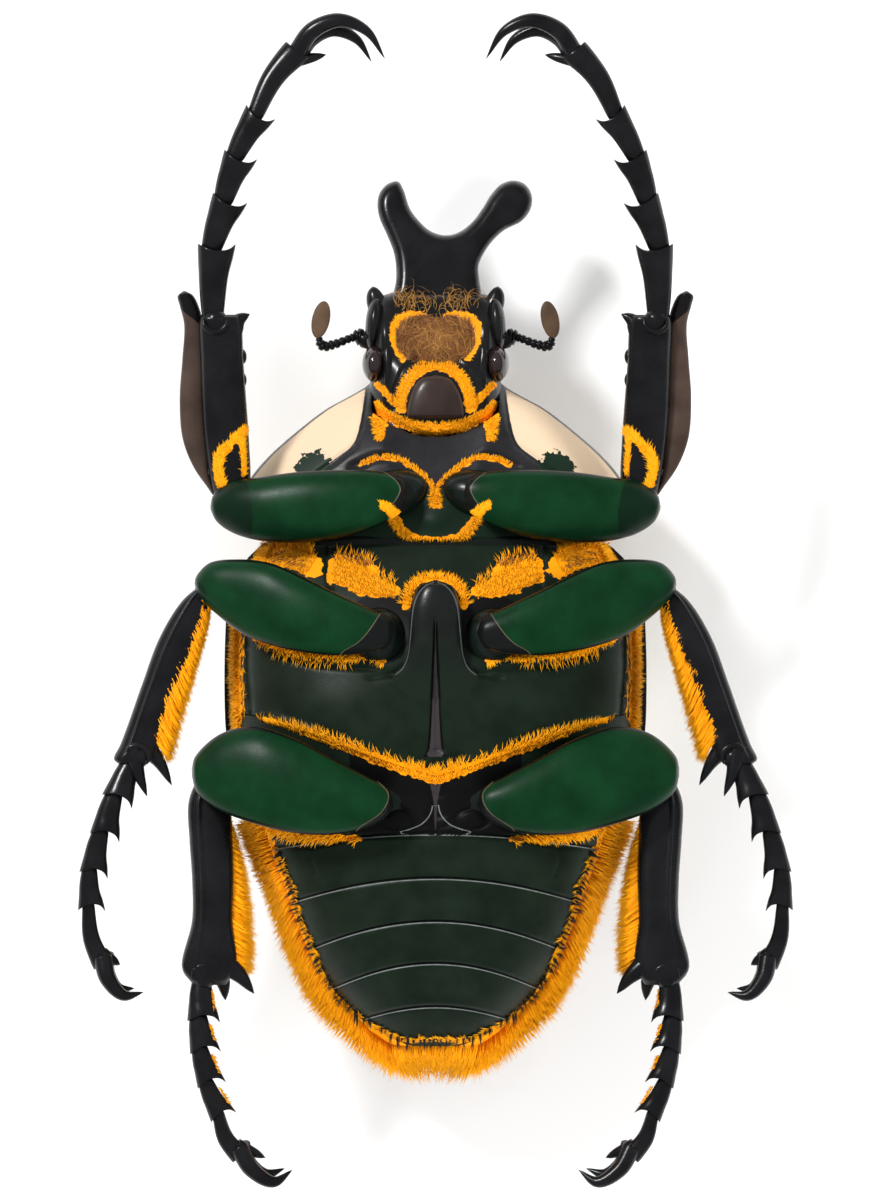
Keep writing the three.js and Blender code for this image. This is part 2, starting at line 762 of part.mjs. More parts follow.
// The keel of the underside, a glossy knob that runs forward between the middle legs
const KEEL = {
  front: [
    [-0.3, 2.0], [-1.9, 1.4], [-2.7, -0.6], [-2.9, -5.0], [-3.2, -9.0], [-2.6, -14.0],
    [-0.9, -18.6],
  ],
  back: [[0.3, 2.0], [1.9, 1.4], [2.7, -0.6], [2.9, -5.0], [3.2, -9.0], [2.6, -14.0], [0.9, -18.6]],
  level: [[0, 30.6], [0.4, 30.9], [0.7, 29.9], [1, 28.6]],
  thick: [[0, 0.5], [0.15, 1.8], [0.5, 2.0], [0.8, 1.6], [1, 0.6]],
  around: 12,
  along: 9,
};
const CHIN = {
  front: [[-0.2, 25.0], [-1.6, 24.4], [-2.4, 22.8], [-2.5, 21.2], [-2.4, 20.6]],
  back: [[0.2, 25.0], [1.6, 24.4], [2.4, 22.8], [2.5, 21.2], [2.4, 20.6]],
  level: [[0, 20.9], [1, 21.2]],
  thick: [[0, 0.3], [0.3, 0.9], [0.8, 0.9], [1, 0.4]],
  around: 10,
  along: 5,
};

// The hind edge of the metasternum, a shallow V
const V_EDGE = [[0, -19.4], [3.9, -18.4], [9.5, -16.6], [15.0, -14.6], [19.2, -13.1], [26, -12.2]];
const vLine = (shift) => [
  ...V_EDGE.slice(1).reverse().map(([x, y]) => [-x, y + shift]),
  ...V_EDGE.map(([x, y]) => [x, y + shift]),
];
const beforeV = (shift) => prism([...vLine(shift), [26, 12], [-26, 12]], -5, 40);
const behindV = (shift) => prism([...vLine(shift), [26, -60], [-26, -60]], -5, 40);

// The scutellum, a long triangle between the roots of the wing cases
const SCUTELLUM = [
  [-4.6, BASE + 1], [4.6, BASE + 1], [2.6, 1.2], [0.5, -4.2], [-0.5, -4.2], [-2.6, 1.2],
];
const TAIL_PLANE = { normal: [0, 0.9, 0.436], offset: 0.9 * -47.3 + 0.436 * 16.5 };

const legs = { left: legParts(1), right: legParts(-1) };
const all = (part, pair, grow) => Object.keys(SIDES).map((side) => legs[side][pair][part](grow));
const minus = (body, ...tools) => tools.flat().reduce((a, b) => a.subtract(b), body);
const onFloor = (body) => body.trimByPlane([0, 0, 1], FLOOR);

// Head
const eyeShape = (side, grow = 0) => egg([7.5 * side, 26.1, 15.6], [1.7, 2.3, 2.2], 0, 10, 6, grow);
const feelerShape = (side, grow = 0) =>
  rod(
    {
      path: onSide(side, [
        [6.6, 28.3, 15.0], [8.6, 29.4, 15.2], [9.6, 29.2, 15.4], [11.2, 28.6, 15.6],
        [12.6, 28.4, 15.8], [13.1, 29.4, 15.9],
      ]),
      radius: [[0, 0.9], [0.25, 0.85], [0.4, 0.5], [0.85, 0.55], [1, 0.35]],
      around: 6,
      along: 8,
    },
    grow,
  );
const clubShape = (side) => egg([12.8 * side, 31.3, 16.0], [1.0, 2.1, 0.75], 12 * side, 8, 6);

const headTools = [-1, 1].flatMap((side) => [eyeShape(side, GAP), feelerShape(side, GAP)]);
const chin = blade(CHIN);
const head = minus(
  joined([headShape(), browTooth(1), browTooth(-1)]),
  headTools,
  blade(CHIN, GAP),
);
addNode("head", head, "plate_green");
addNode("horn", minus(hornShape(), headShape(GAP)), "shell_black");
addNode("chin_plate", chin, "shell_black");
for (const [name, side] of Object.entries(SIDES)) {
  addNode(`${name}_eye`, minus(eyeShape(side), feelerShape(side, GAP)), "eye_brown");
  addNode(`${name}_antenna`, feelerShape(side), "shell_black");
  addNode(`${name}_antenna_club`, minus(clubShape(side), feelerShape(side, GAP)), "flange_brown");
}

// Fore body
const foreTools = [headShape(GAP), ...all("coxa", "front", GAP), ...all("femur", "front", GAP)];
foreTools.push(...[-1, 1].map((side) => eyeShape(side, GAP)));
const shield = minus(onFloor(shieldWhole), sternumRegion(GAP, 12.7), foreTools);
const sternum = minus(shieldWhole.intersect(sternumRegion(0, 13)), foreTools);
addNode("pronotum", shield, "shield_cream");
addNode("prosternum", sternum, "plate_green");

// Hind body
const hindTools = [
  ...all("coxa", "middle", GAP),
  ...all("coxa", "hind", GAP),
  ...all("femur", "middle", GAP),
  ...all("femur", "hind", GAP),
  ...all("tibia", "hind", GAP),
];
const scutellumRegion = (grow) =>
  prism(SCUTELLUM.map(([x, y], i) => [x + Math.sign(x) * grow, i > 2 && y < 0 ? y - grow : y]), -5, 12);
const keel = blade(KEEL);
addNode("thorax", minus(core().intersect(beforeV(GAP / 2)), hindTools, blade(KEEL, GAP)), "plate_green");
addNode("keel", minus(keel, all("femur", "middle", GAP), all("coxa", "middle", GAP)), "shell_black");
const behind = minus(core().intersect(behindV(-GAP / 2)), hindTools);
const belly = behind.trimByPlane(TAIL_PLANE.normal, TAIL_PLANE.offset + GAP);
const belted = minus(joined([belly, ...tailFringe(1), ...tailFringe(-1)]), all("tibia", "hind", GAP));
addNode("abdomen", belted, "plate_green");
const rump = behind.trimByPlane(TAIL_PLANE.normal.map((v) => -v), -TAIL_PLANE.offset);
addNode("tail_plate", minus(rump, ...tailFringe(1, GAP), ...tailFringe(-1, GAP)), "plate_green");
const cases = minus(onFloor(caseDome), core(GAP), scutellumRegion(GAP), hindTools);
addNode("left_wing_case", cases.trimByPlane([1, 0, 0], GAP / 2), "case_brown");
addNode("right_wing_case", cases.trimByPlane([-1, 0, 0], GAP / 2), "case_brown");
addNode("scutellum", minus(onFloor(caseDome).intersect(scutellumRegion(0)), core(GAP)), "shell_black");

// Legs
for (const side of Object.keys(SIDES)) {
  for (const [pair, parts] of Object.entries(legs[side])) {
    const name = `${side}_${pair}`;
    const femur = parts.femur(0);
    const coxa = minus(parts.coxa(0), parts.femur(GAP));
    const split = coxa.trimByPlane([SIDES[side], 0, 0], GAP / 2);
    const tibia = minus(parts.tibia(0), parts.femur(GAP));
    const tarsus = minus(parts.foot, parts.tibia(GAP));
    addNode(`${name}_coxa`, split, "shell_black");
    addNode(`${name}_femur`, femur, "femur_green");
    addNode(`${name}_tibia`, tibia, "shell_black");
    addNode(`${name}_foot`, tarsus, "shell_black");
    addNode(`${name}_claws`, minus(parts.claws, parts.footEnd), "shell_black");
  }
}

// The origin is on the floor, under the middle of the whole beetle
const reach = new THREE.Box3().setFromObject(beetle);
const centre = reach.getCenter(new THREE.Vector3());
beetle.position.set(-centre.x, -centre.y, -reach.min.z);

export default beetle;
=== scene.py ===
import math

import bmesh
import bpy
import numpy as np
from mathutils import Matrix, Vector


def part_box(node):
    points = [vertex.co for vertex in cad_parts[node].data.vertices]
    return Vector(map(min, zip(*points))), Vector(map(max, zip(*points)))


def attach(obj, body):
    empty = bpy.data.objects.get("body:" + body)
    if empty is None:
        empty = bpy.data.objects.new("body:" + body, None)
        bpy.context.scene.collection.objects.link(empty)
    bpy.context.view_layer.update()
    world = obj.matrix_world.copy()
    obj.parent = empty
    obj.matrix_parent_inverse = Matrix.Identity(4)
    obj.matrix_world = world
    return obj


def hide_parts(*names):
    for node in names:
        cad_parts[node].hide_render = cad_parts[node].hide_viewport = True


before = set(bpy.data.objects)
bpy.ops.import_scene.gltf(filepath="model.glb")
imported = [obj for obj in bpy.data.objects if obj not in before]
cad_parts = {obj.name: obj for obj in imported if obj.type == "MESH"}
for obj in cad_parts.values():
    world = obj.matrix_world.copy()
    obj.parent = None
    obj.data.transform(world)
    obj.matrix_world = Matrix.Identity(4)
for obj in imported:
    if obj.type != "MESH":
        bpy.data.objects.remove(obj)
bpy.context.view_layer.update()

# A male goliath beetle on its back, drawn from its underside. Shapes are worked out in millimetres:
# +X is the beetle's left, +Y its head end, and Z the height above the floor.
MM = 0.001
CASE_FRONT = 6.2  # front edge of the wing cases before the model is centred
SHIFT = np.array([0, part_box("left_wing_case")[1].y / MM - CASE_FRONT, 0])
SIDES = {"left": 1, "right": -1}
NOWHERE = -5.0  # mark of a point that lies in no zone
WELD = 2e-6  # points of a skin that are nearer to each other, in metres, become one
TUFT_PATCH = 0.0015  # half the width of a tuft's own place in the OFBake map
TURN = 2 * math.pi
UP = np.array([0, 0, 1.0])


# Curves

def smooth(table):
    """A smooth function through (place, value) pairs in rising order of place."""
    place, value = np.array(table, float).T
    last = len(place) - 1
    before = np.maximum(np.arange(last + 1) - 1, 0)
    after = np.minimum(np.arange(last + 1) + 1, last)
    slope = (value[after] - value[before]) / (place[after] - place[before])

    def at(x):
        x = np.clip(x, place[0], place[-1])
        i = np.clip(np.searchsorted(place, x, side="right") - 1, 0, last - 1)
        span = place[i + 1] - place[i]
        s = (x - place[i]) / span
        rise = s * s * (3 - 2 * s)
        bend = s * (1 - s) ** 2 * slope[i] + s * s * (s - 1) * slope[i + 1]
        return value[i] * (1 - rise) + value[i + 1] * rise + span * bend

    return at


def curve(points):
    """A smooth path through points, as a function of an array of steps from 0 to 1."""
    p = np.array([(*point, 0)[:3] for point in points], float)
    p = np.vstack([2 * p[0] - p[1], p, 2 * p[-1] - p[-2]])
    gap = np.sqrt(np.linalg.norm(np.diff(p, axis=0), axis=1))
    count = len(points) - 1

    def at(t):
        t = np.clip(np.asarray(t, float), 0, 1) * count
        i = np.minimum(t.astype(int), count - 1)
        s = (t - i)[..., None]
        a, b, c, d = (p[i + k] for k in range(4))
        ab, bc, cd = (gap[i + k][..., None] for k in range(3))
        leave = ((b - a) / ab - (c - a) / (ab + bc) + (c - b) / bc) * bc
        arrive = ((c - b) / bc - (d - b) / (bc + cd) + (d - c) / cd) * bc
        turn = 3 * (c - b) - 2 * leave - arrive
        return b + leave * s + turn * s**2 + (2 * (b - c) + leave + arrive) * s**3

    return at


def heading(line, t, step):
    """From just before each step of a path to just after it."""
    return line(np.minimum(t + step, 1)) - line(np.maximum(t - step, 0))


def power(value, exponent):
    return np.sign(value) * np.abs(value) ** exponent


def axes(points):
    """The x, y and z of an array of points."""
    return points[..., 0], points[..., 1], points[..., 2]


def unit(vectors):
    return vectors / np.maximum(np.linalg.norm(vectors, axis=-1, keepdims=True), 1e-9)


def on_side(side, points):
    return [(point[0] * side, *point[1:]) for point in points]


def away_from(path, x, y):
    """Distance in the plan from points to a path of straight lines."""
    best = np.full(np.shape(x), 1e9)
    for (ax, ay), (bx, by) in zip(path[:-1], path[1:]):
        dx, dy = bx - ax, by - ay
        along = np.clip(((x - ax) * dx + (y - ay) * dy) / (dx * dx + dy * dy), 0, 1)
        best = np.minimum(best, np.hypot(x - ax - along * dx, y - ay - along * dy))
    return best


def groove(path, width, depth, x, y):
    """Depth of a groove on both sides of the beetle, to be taken off a height."""
    return depth * np.exp(-((away_from(path, np.abs(x), y) / width) ** 2))


# Skins: functions from steps along and angles around to points in millimetres

def blade(front, back, level, thick, roundness=2.0):
    """A rounded blade between two edges seen from above."""
    ahead_edge, behind_edge = curve(front), curve(back)
    level, thick = smooth(level), smooth(thick)

    def skin(t, angle):
        a, b = ahead_edge(t), behind_edge(t)
        inside = np.clip(t, 0.04, 0.96)
        across = ahead_edge(inside) - behind_edge(inside)
        across[:, 2] = 0
        half = np.linalg.norm(a - b, axis=1)[:, None] / 2
        c = power(np.cos(angle), 2 / roundness)
        s = power(np.sin(angle), 2 / roundness)
        point = (a + b)[:, None] / 2 + unit(across)[:, None] * (half * c)[..., None]
        point[..., 2] = level(t)[:, None] + thick(t)[:, None] * s
        return point

    return skin


def rod(path, radius, flatten=1.0, beads=0, bead_depth=0.0):
    """A round rod along a path, with swellings like beads if they are asked for."""
    line, radius = curve(path), smooth(radius)

    def skin(t, angle):
        ahead = unit(heading(line, t, 0.01))
        side = unit(np.cross(UP, ahead))
        up = np.cross(ahead, side)
        size = radius(t) * (1 - bead_depth * np.cos(math.pi * beads * t) ** 8)
        c, s = (size[:, None] * f(angle) for f in (np.cos, np.sin))
        return line(t)[:, None] + side[:, None] * c[..., None] + up[:, None] * (s * flatten)[..., None]

    return skin


def egg(centre, sizes, turn=0.0):
    """An egg with three half-sizes, turned in plan by some degrees."""
    a = math.radians(turn)

    def skin(t, angle):
        ring = np.sin(math.pi * t)[:, None]
        x, z = ring * np.cos(angle) * sizes[0], ring * np.sin(angle) * sizes[2]
        y = np.cos(math.pi * t)[:, None] * sizes[1] + 0 * x
        plan = [x * math.cos(a) - y * math.sin(a), x * math.sin(a) + y * math.cos(a), z]
        return np.stack(plan, axis=-1) + np.array(centre, float)

    return skin


class Trunk:
    """A length of the body: sections across Y, widest at the height of the rim."""

    def __init__(self, half, rim, low, high, over, under, ends, lip=0.5, inset=0.0):
        self.half, self.rim, self.low, self.high = (smooth(t) for t in (half, rim, low, high))
        self.over, self.under, self.ends, self.lip, self.inset = over, under, ends, lip, inset

    def section(self, y):
        """Half-width, rim height, rise and drop at y, drawn in a little at the ends."""
        near = np.minimum(self.ends[0] - y, y - self.ends[1])
        share = 1 - np.clip(near / self.lip, 0, 1)
        draw = self.lip * (1 - np.sqrt(1 - np.minimum(share, 0.995) ** 2)) + self.inset
        rim = self.rim(y)
        size = (self.half(y), self.high(y) - rim + self.inset, rim - self.low(y))
        width, rise, drop = (np.maximum(s - draw, 0.02) for s in size)
        return width, rim, rise, drop

    def points(self, y, angle):
        width, rim, rise, drop = self.section(y)
        c, s = np.cos(angle), np.sin(angle)
        above = s >= 0
        x = width * np.where(above, power(c, 2 / self.over), power(c, 2 / self.under))
        z = np.where(above, rise * power(s, 2 / self.over), drop * power(s, 2 / self.under))
        return np.stack([x, y + 0 * x, rim + z], axis=-1)

    def skin(self, t, angle):
        y = self.ends[0] + (self.ends[1] - self.ends[0]) * t[:, None] + 0 * angle
        return self.points(y, angle + 0 * y)

    def top(self, x, y):
        """Height of the underside, which faces up, over points of the plan."""
        width, rim, rise, _ = self.section(y)
        share = np.minimum(np.abs(x) / width, 0.995) ** self.over
        return rim + rise * (1 - share) ** (1 / self.over)

    def unwrap(self, x, y):
        width = self.section(y)[0]
        share = np.clip(x / width, -1, 1)
        angle = np.arccos(power(share, self.over / 2))
        return angle / TURN, (self.ends[0] - y) / (self.ends[0] - self.ends[1])


# Meshes

def evenly(count):
    return np.linspace(0, 1, count + 1)


def close_ends(count, pull=0.75):
    """Steps from 0 to 1 that crowd together at both ends."""
    t = evenly(count)
    return t - pull * np.sin(TURN * t) / TURN


def around(count, upper=0.5):
    """Angles of a full turn, with a share of them in the upper half."""
    first = int(count * upper)
    return np.concatenate([
        np.linspace(0, math.pi, first + 1),
        np.linspace(math.pi, TURN, count - first + 1)[1:],
    ])


def loft(skin, angles, steps, sculpt=None, marks=None):
    """A closed bmesh over a skin. sculpt moves the points, and marks gives named values to them."""
    points = skin(steps, angles)
    if sculpt:
        points = sculpt(points)
    bm = bmesh.new()
    columns, rows = len(angles) - 1, len(steps) - 1
    bmesh.ops.create_grid(bm, x_segments=columns, y_segments=rows, size=1.0)
    found = {name: values(points, steps, angles) for name, values in (marks or {}).items()}
    layers = {name: bm.verts.layers.float.new(name) for name in found}
    for v in bm.verts:
        i = round((v.co.x + 1) / 2 * columns)
        j = round((v.co.y + 1) / 2 * rows)
        for name, layer in layers.items():
            v[layer] = float(found[name][j, i])
        v.co = (points[j, i] + SHIFT) * MM
    bmesh.ops.remove_doubles(bm, verts=bm.verts, dist=WELD)
    rims = [e for e in bm.edges if e.is_boundary]
    if rims:
        caps = bmesh.ops.holes_fill(bm, edges=rims, sides=0)["faces"]
        bmesh.ops.poke(bm, faces=caps)
    bmesh.ops.recalc_face_normals(bm, faces=bm.faces)
    return bm


def piece(name, parts, finish, nodes=()):
    """One named object out of lofts, smooth, in its material, riding on the body."""
    mesh = bpy.data.meshes.new(name)
    whole = bmesh.new()
    marks = {label for bm in parts for label in bm.verts.layers.float.keys()}
    for bm in parts:
        for label in marks - set(bm.verts.layers.float.keys()):
            layer = bm.verts.layers.float.new(label)
            for v in bm.verts:
                v[layer] = NOWHERE
        part = bpy.data.meshes.new("part")
        bm.to_mesh(part)
        bm.free()
        whole.from_mesh(part)
        bpy.data.meshes.remove(part)
    for face in whole.faces:
        face.smooth = True
    whole.to_mesh(mesh)
    whole.free()
    return settle(name, mesh, finish, nodes)


def settle(name, mesh, finish, nodes):
    mesh.materials.append(finish)
    obj = bpy.data.objects.new(name, mesh)
    bpy.context.scene.collection.objects.link(obj)
    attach(obj, "root")
    if nodes:
        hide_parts(*nodes)
    return obj


def tufts(
    name, roots, ways, normals, lengths, places, finish,
    width=0.17, droop=0.25, curl=0.25, rings=2, seed=1,
):
    """Tapered three-sided tufts as one mesh. Each starts along its way and droops towards the skin."""
    count = len(roots)
    draw = np.random.default_rng(seed)
    ways, normals = unit(ways), unit(normals)
    side = unit(np.cross(ways, normals))
    lift = unit(np.cross(side, ways))
    lengths = lengths[:, None] * draw.uniform(0.7, 1.15, (count, 1))
    widths = width * draw.uniform(0.75, 1.25, (count, 1))
    turn = draw.normal(0, curl, (count, 1))
    if curl > 1:  # threads that all turn well to one side or the other
        turn = np.sign(turn) * curl * draw.uniform(0.6, 1.2, (count, 1))
    turn = np.where(np.abs(turn) < 0.05, 0.05, turn)

    def centre(along):
        ahead, aside = np.sin(turn * along) / turn, (1 - np.cos(turn * along)) / turn
        droops = lift * droop * along**2
        return roots + lengths * (ways * (ahead - 0.1 * (along == 0)) + side * aside - droops)

    corners = [TURN * k / 3 + math.pi / 2 for k in range(3)]
    steps = np.arange(rings) / rings
    points = [
        centre(step) + (side * math.cos(a) + lift * math.sin(a) * 0.7) * widths / 2 * (1 - step**2)
        for step in steps for a in corners
    ]
    points = np.stack([*points, centre(1.0)], axis=1)
    size = 3 * rings + 1
    faces = [(0, 2, 1)]
    for ring in range(rings):
        for k in range(3):
            here, beside = 3 * ring + k, 3 * ring + (k + 1) % 3
            if ring < rings - 1:
                faces += [(here, beside, beside + 3), (here, beside + 3, here + 3)]
            else:
                faces.append((here, beside, size - 1))
    index = (np.array(faces)[None] + size * np.arange(count)[:, None, None]).reshape(-1)
    mesh = bpy.data.meshes.new(name)
    mesh.vertices.add(count * size)
    mesh.vertices.foreach_set("co", ((points.reshape(-1, 3) + SHIFT) * MM).ravel())
    mesh.loops.add(len(index))
    mesh.loops.foreach_set("vertex_index", index)
    mesh.polygons.add(len(index) // 3)
    mesh.polygons.foreach_set("loop_start", np.arange(0, len(index), 3))
    mesh.update(calc_edges=True)
    mesh.polygons.foreach_set("use_smooth", np.ones(len(index) // 3, bool))
    tone = mesh.attributes.new("tone", "FLOAT", "POINT")
    tone.data.foreach_set("value", np.repeat(draw.uniform(0, 1, count), size))
    height = mesh.attributes.new("height", "FLOAT", "POINT")
    rise = np.append(np.repeat(steps, 3), 1.0)
    height.data.foreach_set("value", np.tile(rise, count))
    patch = TUFT_PATCH * np.column_stack([np.append(np.tile([-1, 1, 0], rings), 0), 2 * rise - 1])
    uv = (np.stack(places, axis=1)[:, None] + patch[None]).reshape(-1, 2)
    mesh.uv_layers.new(name="OFBake").data.foreach_set("uv", uv[index].astype(np.float32).ravel())
    return settle(name, mesh, finish, ())


# Finishes

def new_group(name, inputs, outputs):
    group = bpy.data.node_groups.new(name, "ShaderNodeTree")
    for label, kind, value in inputs:
        socket = group.interface.new_socket(label, in_out="INPUT", socket_type=kind)
        socket.default_value = value
    for label, kind in outputs:
        group.interface.new_socket(label, in_out="OUTPUT", socket_type=kind)
    return group, group.nodes.new("NodeGroupInput"), group.nodes.new("NodeGroupOutput")


def add(tree, kind, settings=None, **inputs):
    """A node with its settings and its inputs, each by its name or as i and its number."""
    node = tree.nodes.new(kind)
    for key, value in (settings or {}).items():
        setattr(node, key, value)
    for key, value in inputs.items():
        is_numbered = key[0] == "i" and key[1:].isdigit()
        socket = node.inputs[int(key[1:]) if is_numbered else key.replace("_", " ")]
        if isinstance(value, bpy.types.NodeSocket):
            tree.links.new(value, socket)
        else:
            socket.default_value = value
    return node


def math_node(tree, operation, a, b=0.0, c=0.0):
    return add(tree, "ShaderNodeMath", {"operation": operation}, i0=a, i1=b, i2=c).outputs[0]


def mix_colour(tree, share, a, b):
    return add(tree, "ShaderNodeMix", {"data_type": "RGBA"}, i0=share, i6=a, i7=b).outputs[2]


def chitin_group():
    """Fine pits and soft clouding of polished shell."""
    group, inputs, outputs = new_group(
        "shell_surface",
        [
            ("Pit Scale", "NodeSocketFloat", 3000.0),
            ("Pit Depth", "NodeSocketFloat", 0.5),
            ("Cloud Scale", "NodeSocketFloat", 260.0),
        ],
        [("Height", "NodeSocketFloat"), ("Cloud", "NodeSocketFloat"), ("Wear", "NodeSocketFloat")],
    )
    place = add(group, "ShaderNodeTexCoord").outputs["Object"]
    pits = add(group, "ShaderNodeTexVoronoi", {"feature": "F1"}, Vector=place, Scale=inputs.outputs[0])
    dip = add(group, "ShaderNodeMapRange", Value=pits.outputs["Distance"], From_Min=0.1, From_Max=0.32)
    cloud = add(group, "ShaderNodeTexNoise", Vector=place, Scale=inputs.outputs[2], Detail=5.0)
    fine = add(group, "ShaderNodeTexNoise", Vector=place, Scale=1400.0, Detail=3.0)
    height = math_node(group, "MULTIPLY", dip.outputs[0], inputs.outputs[1])
    height = math_node(group, "MULTIPLY_ADD", fine.outputs["Fac"], 0.35, height)
    spread = add(group, "ShaderNodeMapRange", Value=cloud.outputs["Fac"], From_Min=0.35, From_Max=0.65)
    group.links.new(height, outputs.inputs[0])
    group.links.new(spread.outputs[0], outputs.inputs[1])
    group.links.new(fine.outputs["Fac"], outputs.inputs[2])
    return group


def ragged_group():
    """A mask where a distance in millimetres is above zero, with a torn, hairy edge."""
    group, inputs, outputs = new_group(
        "ragged_edge",
        [
            ("Distance", "NodeSocketFloat", 0.0), ("Raggedness", "NodeSocketFloat", 0.5),
            ("Scale", "NodeSocketFloat", 1500.0),
        ],
        [("Mask", "NodeSocketFloat")],
    )
    place = add(group, "ShaderNodeTexCoord").outputs["Object"]
    noise = add(group, "ShaderNodeTexNoise", Vector=place, Scale=inputs.outputs[2], Detail=2.0)
    shift = math_node(group, "SUBTRACT", noise.outputs["Fac"], 0.5)
    shifted = math_node(group, "MULTIPLY_ADD", shift, inputs.outputs[1], inputs.outputs[0])
    edge = add(group, "ShaderNodeMapRange", Value=shifted, From_Min=-0.04, From_Max=0.04)
    group.links.new(edge.outputs[0], outputs.inputs[0])
    return group


SHELL_SURFACE = chitin_group()
RAGGED_EDGE = ragged_group()


def group_node(tree, group, **inputs):
    return add(tree, "ShaderNodeGroup", {"node_tree": group}, **inputs)


def colour(r, g, b):
    return (r, g, b, 1.0)


def start_material(name, roughness, coat=0.0, specular=0.18):
    material = bpy.data.materials.new(name)
    material.use_nodes = True
    shader = material.node_tree.nodes["Principled BSDF"]
    shader.inputs["Roughness"].default_value = roughness
    shader.inputs["Coat Weight"].default_value = coat
    shader.inputs["Coat Roughness"].default_value = 0.12
    shader.inputs["Specular IOR Level"].default_value = specular
    return material, material.node_tree, shader


def mark(tree, name):
    return add(tree, "ShaderNodeAttribute", {"attribute_name": name}).outputs["Fac"]


def finish_surface(tree, shader, base, roughness, height, bump=0.25, distance=0.00004):
    tree.links.new(base, shader.inputs["Base Color"])
    tree.links.new(roughness, shader.inputs["Roughness"])
    node = add(tree, "ShaderNodeBump", Strength=bump, Distance=distance, Height=height)
    tree.links.new(node.outputs[0], shader.inputs["Normal"])


def chitin(tree, dark, light, roughness, spread, pits, depth):
    """Base colour, roughness and height of a shell that clouds from dark to light."""
    surface = group_node(tree, SHELL_SURFACE, Pit_Scale=pits, Pit_Depth=depth)
    base = mix_colour(tree, surface.outputs["Cloud"], colour(*dark), colour(*light))
    low, high = (roughness * share for share in spread)
    rough = add(tree, "ShaderNodeMapRange", Value=surface.outputs["Wear"], To_Min=low, To_Max=high)
    return base, rough.outputs[0], surface.outputs["Height"]


def shell_material(name, dark, light, roughness, coat, pits=2600.0, depth=0.5):
    """Polished chitin between two colours, dusted a little with wear."""
    material, tree, shader = start_material(name, roughness, coat)
    base, rough, height = chitin(tree, dark, light, roughness, (0.75, 1.35), pits, depth)
    finish_surface(tree, shader, base, rough, height)
    return material


def zoned_material(
    name, zones, roughness, coat, dark, light, pits=2200.0, depth=0.4, line=None, specular=0.18,
):
    """Chitin with zones, and perhaps a line where a mark is zero.

    A zone is a mark, its colour, its roughness and how ragged its edge is. The line is a mark, its
    colour and half its width.
    """
    material, tree, shader = start_material(name, roughness, coat, specular)
    base, rough, height = chitin(tree, dark, light, roughness, (0.8, 1.3), pits, depth)
    for label, tint, dull, ragged in zones:
        mask = group_node(tree, RAGGED_EDGE, Distance=mark(tree, label), Raggedness=ragged).outputs[0]
        base = mix_colour(tree, mask, base, tint)
        mixed = add(tree, "ShaderNodeMix", {"data_type": "FLOAT"}, i0=mask, i2=rough, i3=dull)
        rough = mixed.outputs[0]
    if line:
        label, tint, half = line
        beside = math_node(tree, "SUBTRACT", half, math_node(tree, "ABSOLUTE", mark(tree, label)))
        mask = group_node(tree, RAGGED_EDGE, Distance=beside, Raggedness=0.05).outputs[0]
        base = mix_colour(tree, mask, base, tint)
    finish_surface(tree, shader, base, rough, height)
    return material


def hair_material(name, deep, bright, tip):
    """Bristles: each tuft has its own tone, darker at its root and paler at its tip."""
    material, tree, shader = start_material(name, 0.5, 0.0, 0.12)
    own = mix_colour(tree, mark(tree, "tone"), colour(*deep), colour(*bright))
    rise = math_node(tree, "POWER", mark(tree, "height"), 1.5)
    base = mix_colour(tree, rise, own, colour(*tip))
    place = add(tree, "ShaderNodeTexCoord").outputs["Object"]
    grain = add(tree, "ShaderNodeTexNoise", Vector=place, Scale=5000.0, Detail=2.0)
    rough = add(tree, "ShaderNodeMapRange", Value=grain.outputs["Fac"], To_Min=0.4, To_Max=0.62)
    finish_surface(tree, shader, base, rough.outputs[0], grain.outputs["Fac"], 0.1)
    return material


BLACK = (0.003, 0.003, 0.0035)
SHELL = shell_material("glossy_black_shell", BLACK, (0.007, 0.007, 0.008), 0.24, 0.08)
HIP = shell_material("dark_hip", (0.003, 0.006, 0.004), (0.006, 0.01, 0.008), 0.28, 0.05)
MENTUM = shell_material("brown_chin", (0.02, 0.012, 0.01), (0.034, 0.022, 0.018), 0.34, 0.1)
CLUB = shell_material("antenna_club", (0.07, 0.04, 0.022), (0.12, 0.072, 0.042), 0.5, 0.0)
EYE = shell_material(
    "eye", (0.012, 0.007, 0.007), (0.03, 0.016, 0.016), 0.12, 0.8, pits=7000.0, depth=1.0,
)
GOLD = hair_material("golden_bristles", (0.85, 0.27, 0.003), (1.0, 0.42, 0.005), (1.0, 0.47, 0.01))
BLACK_HAIR = hair_material(
    "black_bristles", (0.004, 0.006, 0.005), (0.012, 0.016, 0.013), (0.02, 0.03, 0.022),
)
BROWN_HAIR = hair_material(
    "brown_bristles", (0.09, 0.033, 0.015), (0.21, 0.085, 0.035), (0.36, 0.16, 0.05),
)
WIRE = hair_material("fine_bristles", (0.25, 0.11, 0.025), (0.6, 0.29, 0.06), (0.75, 0.42, 0.12))

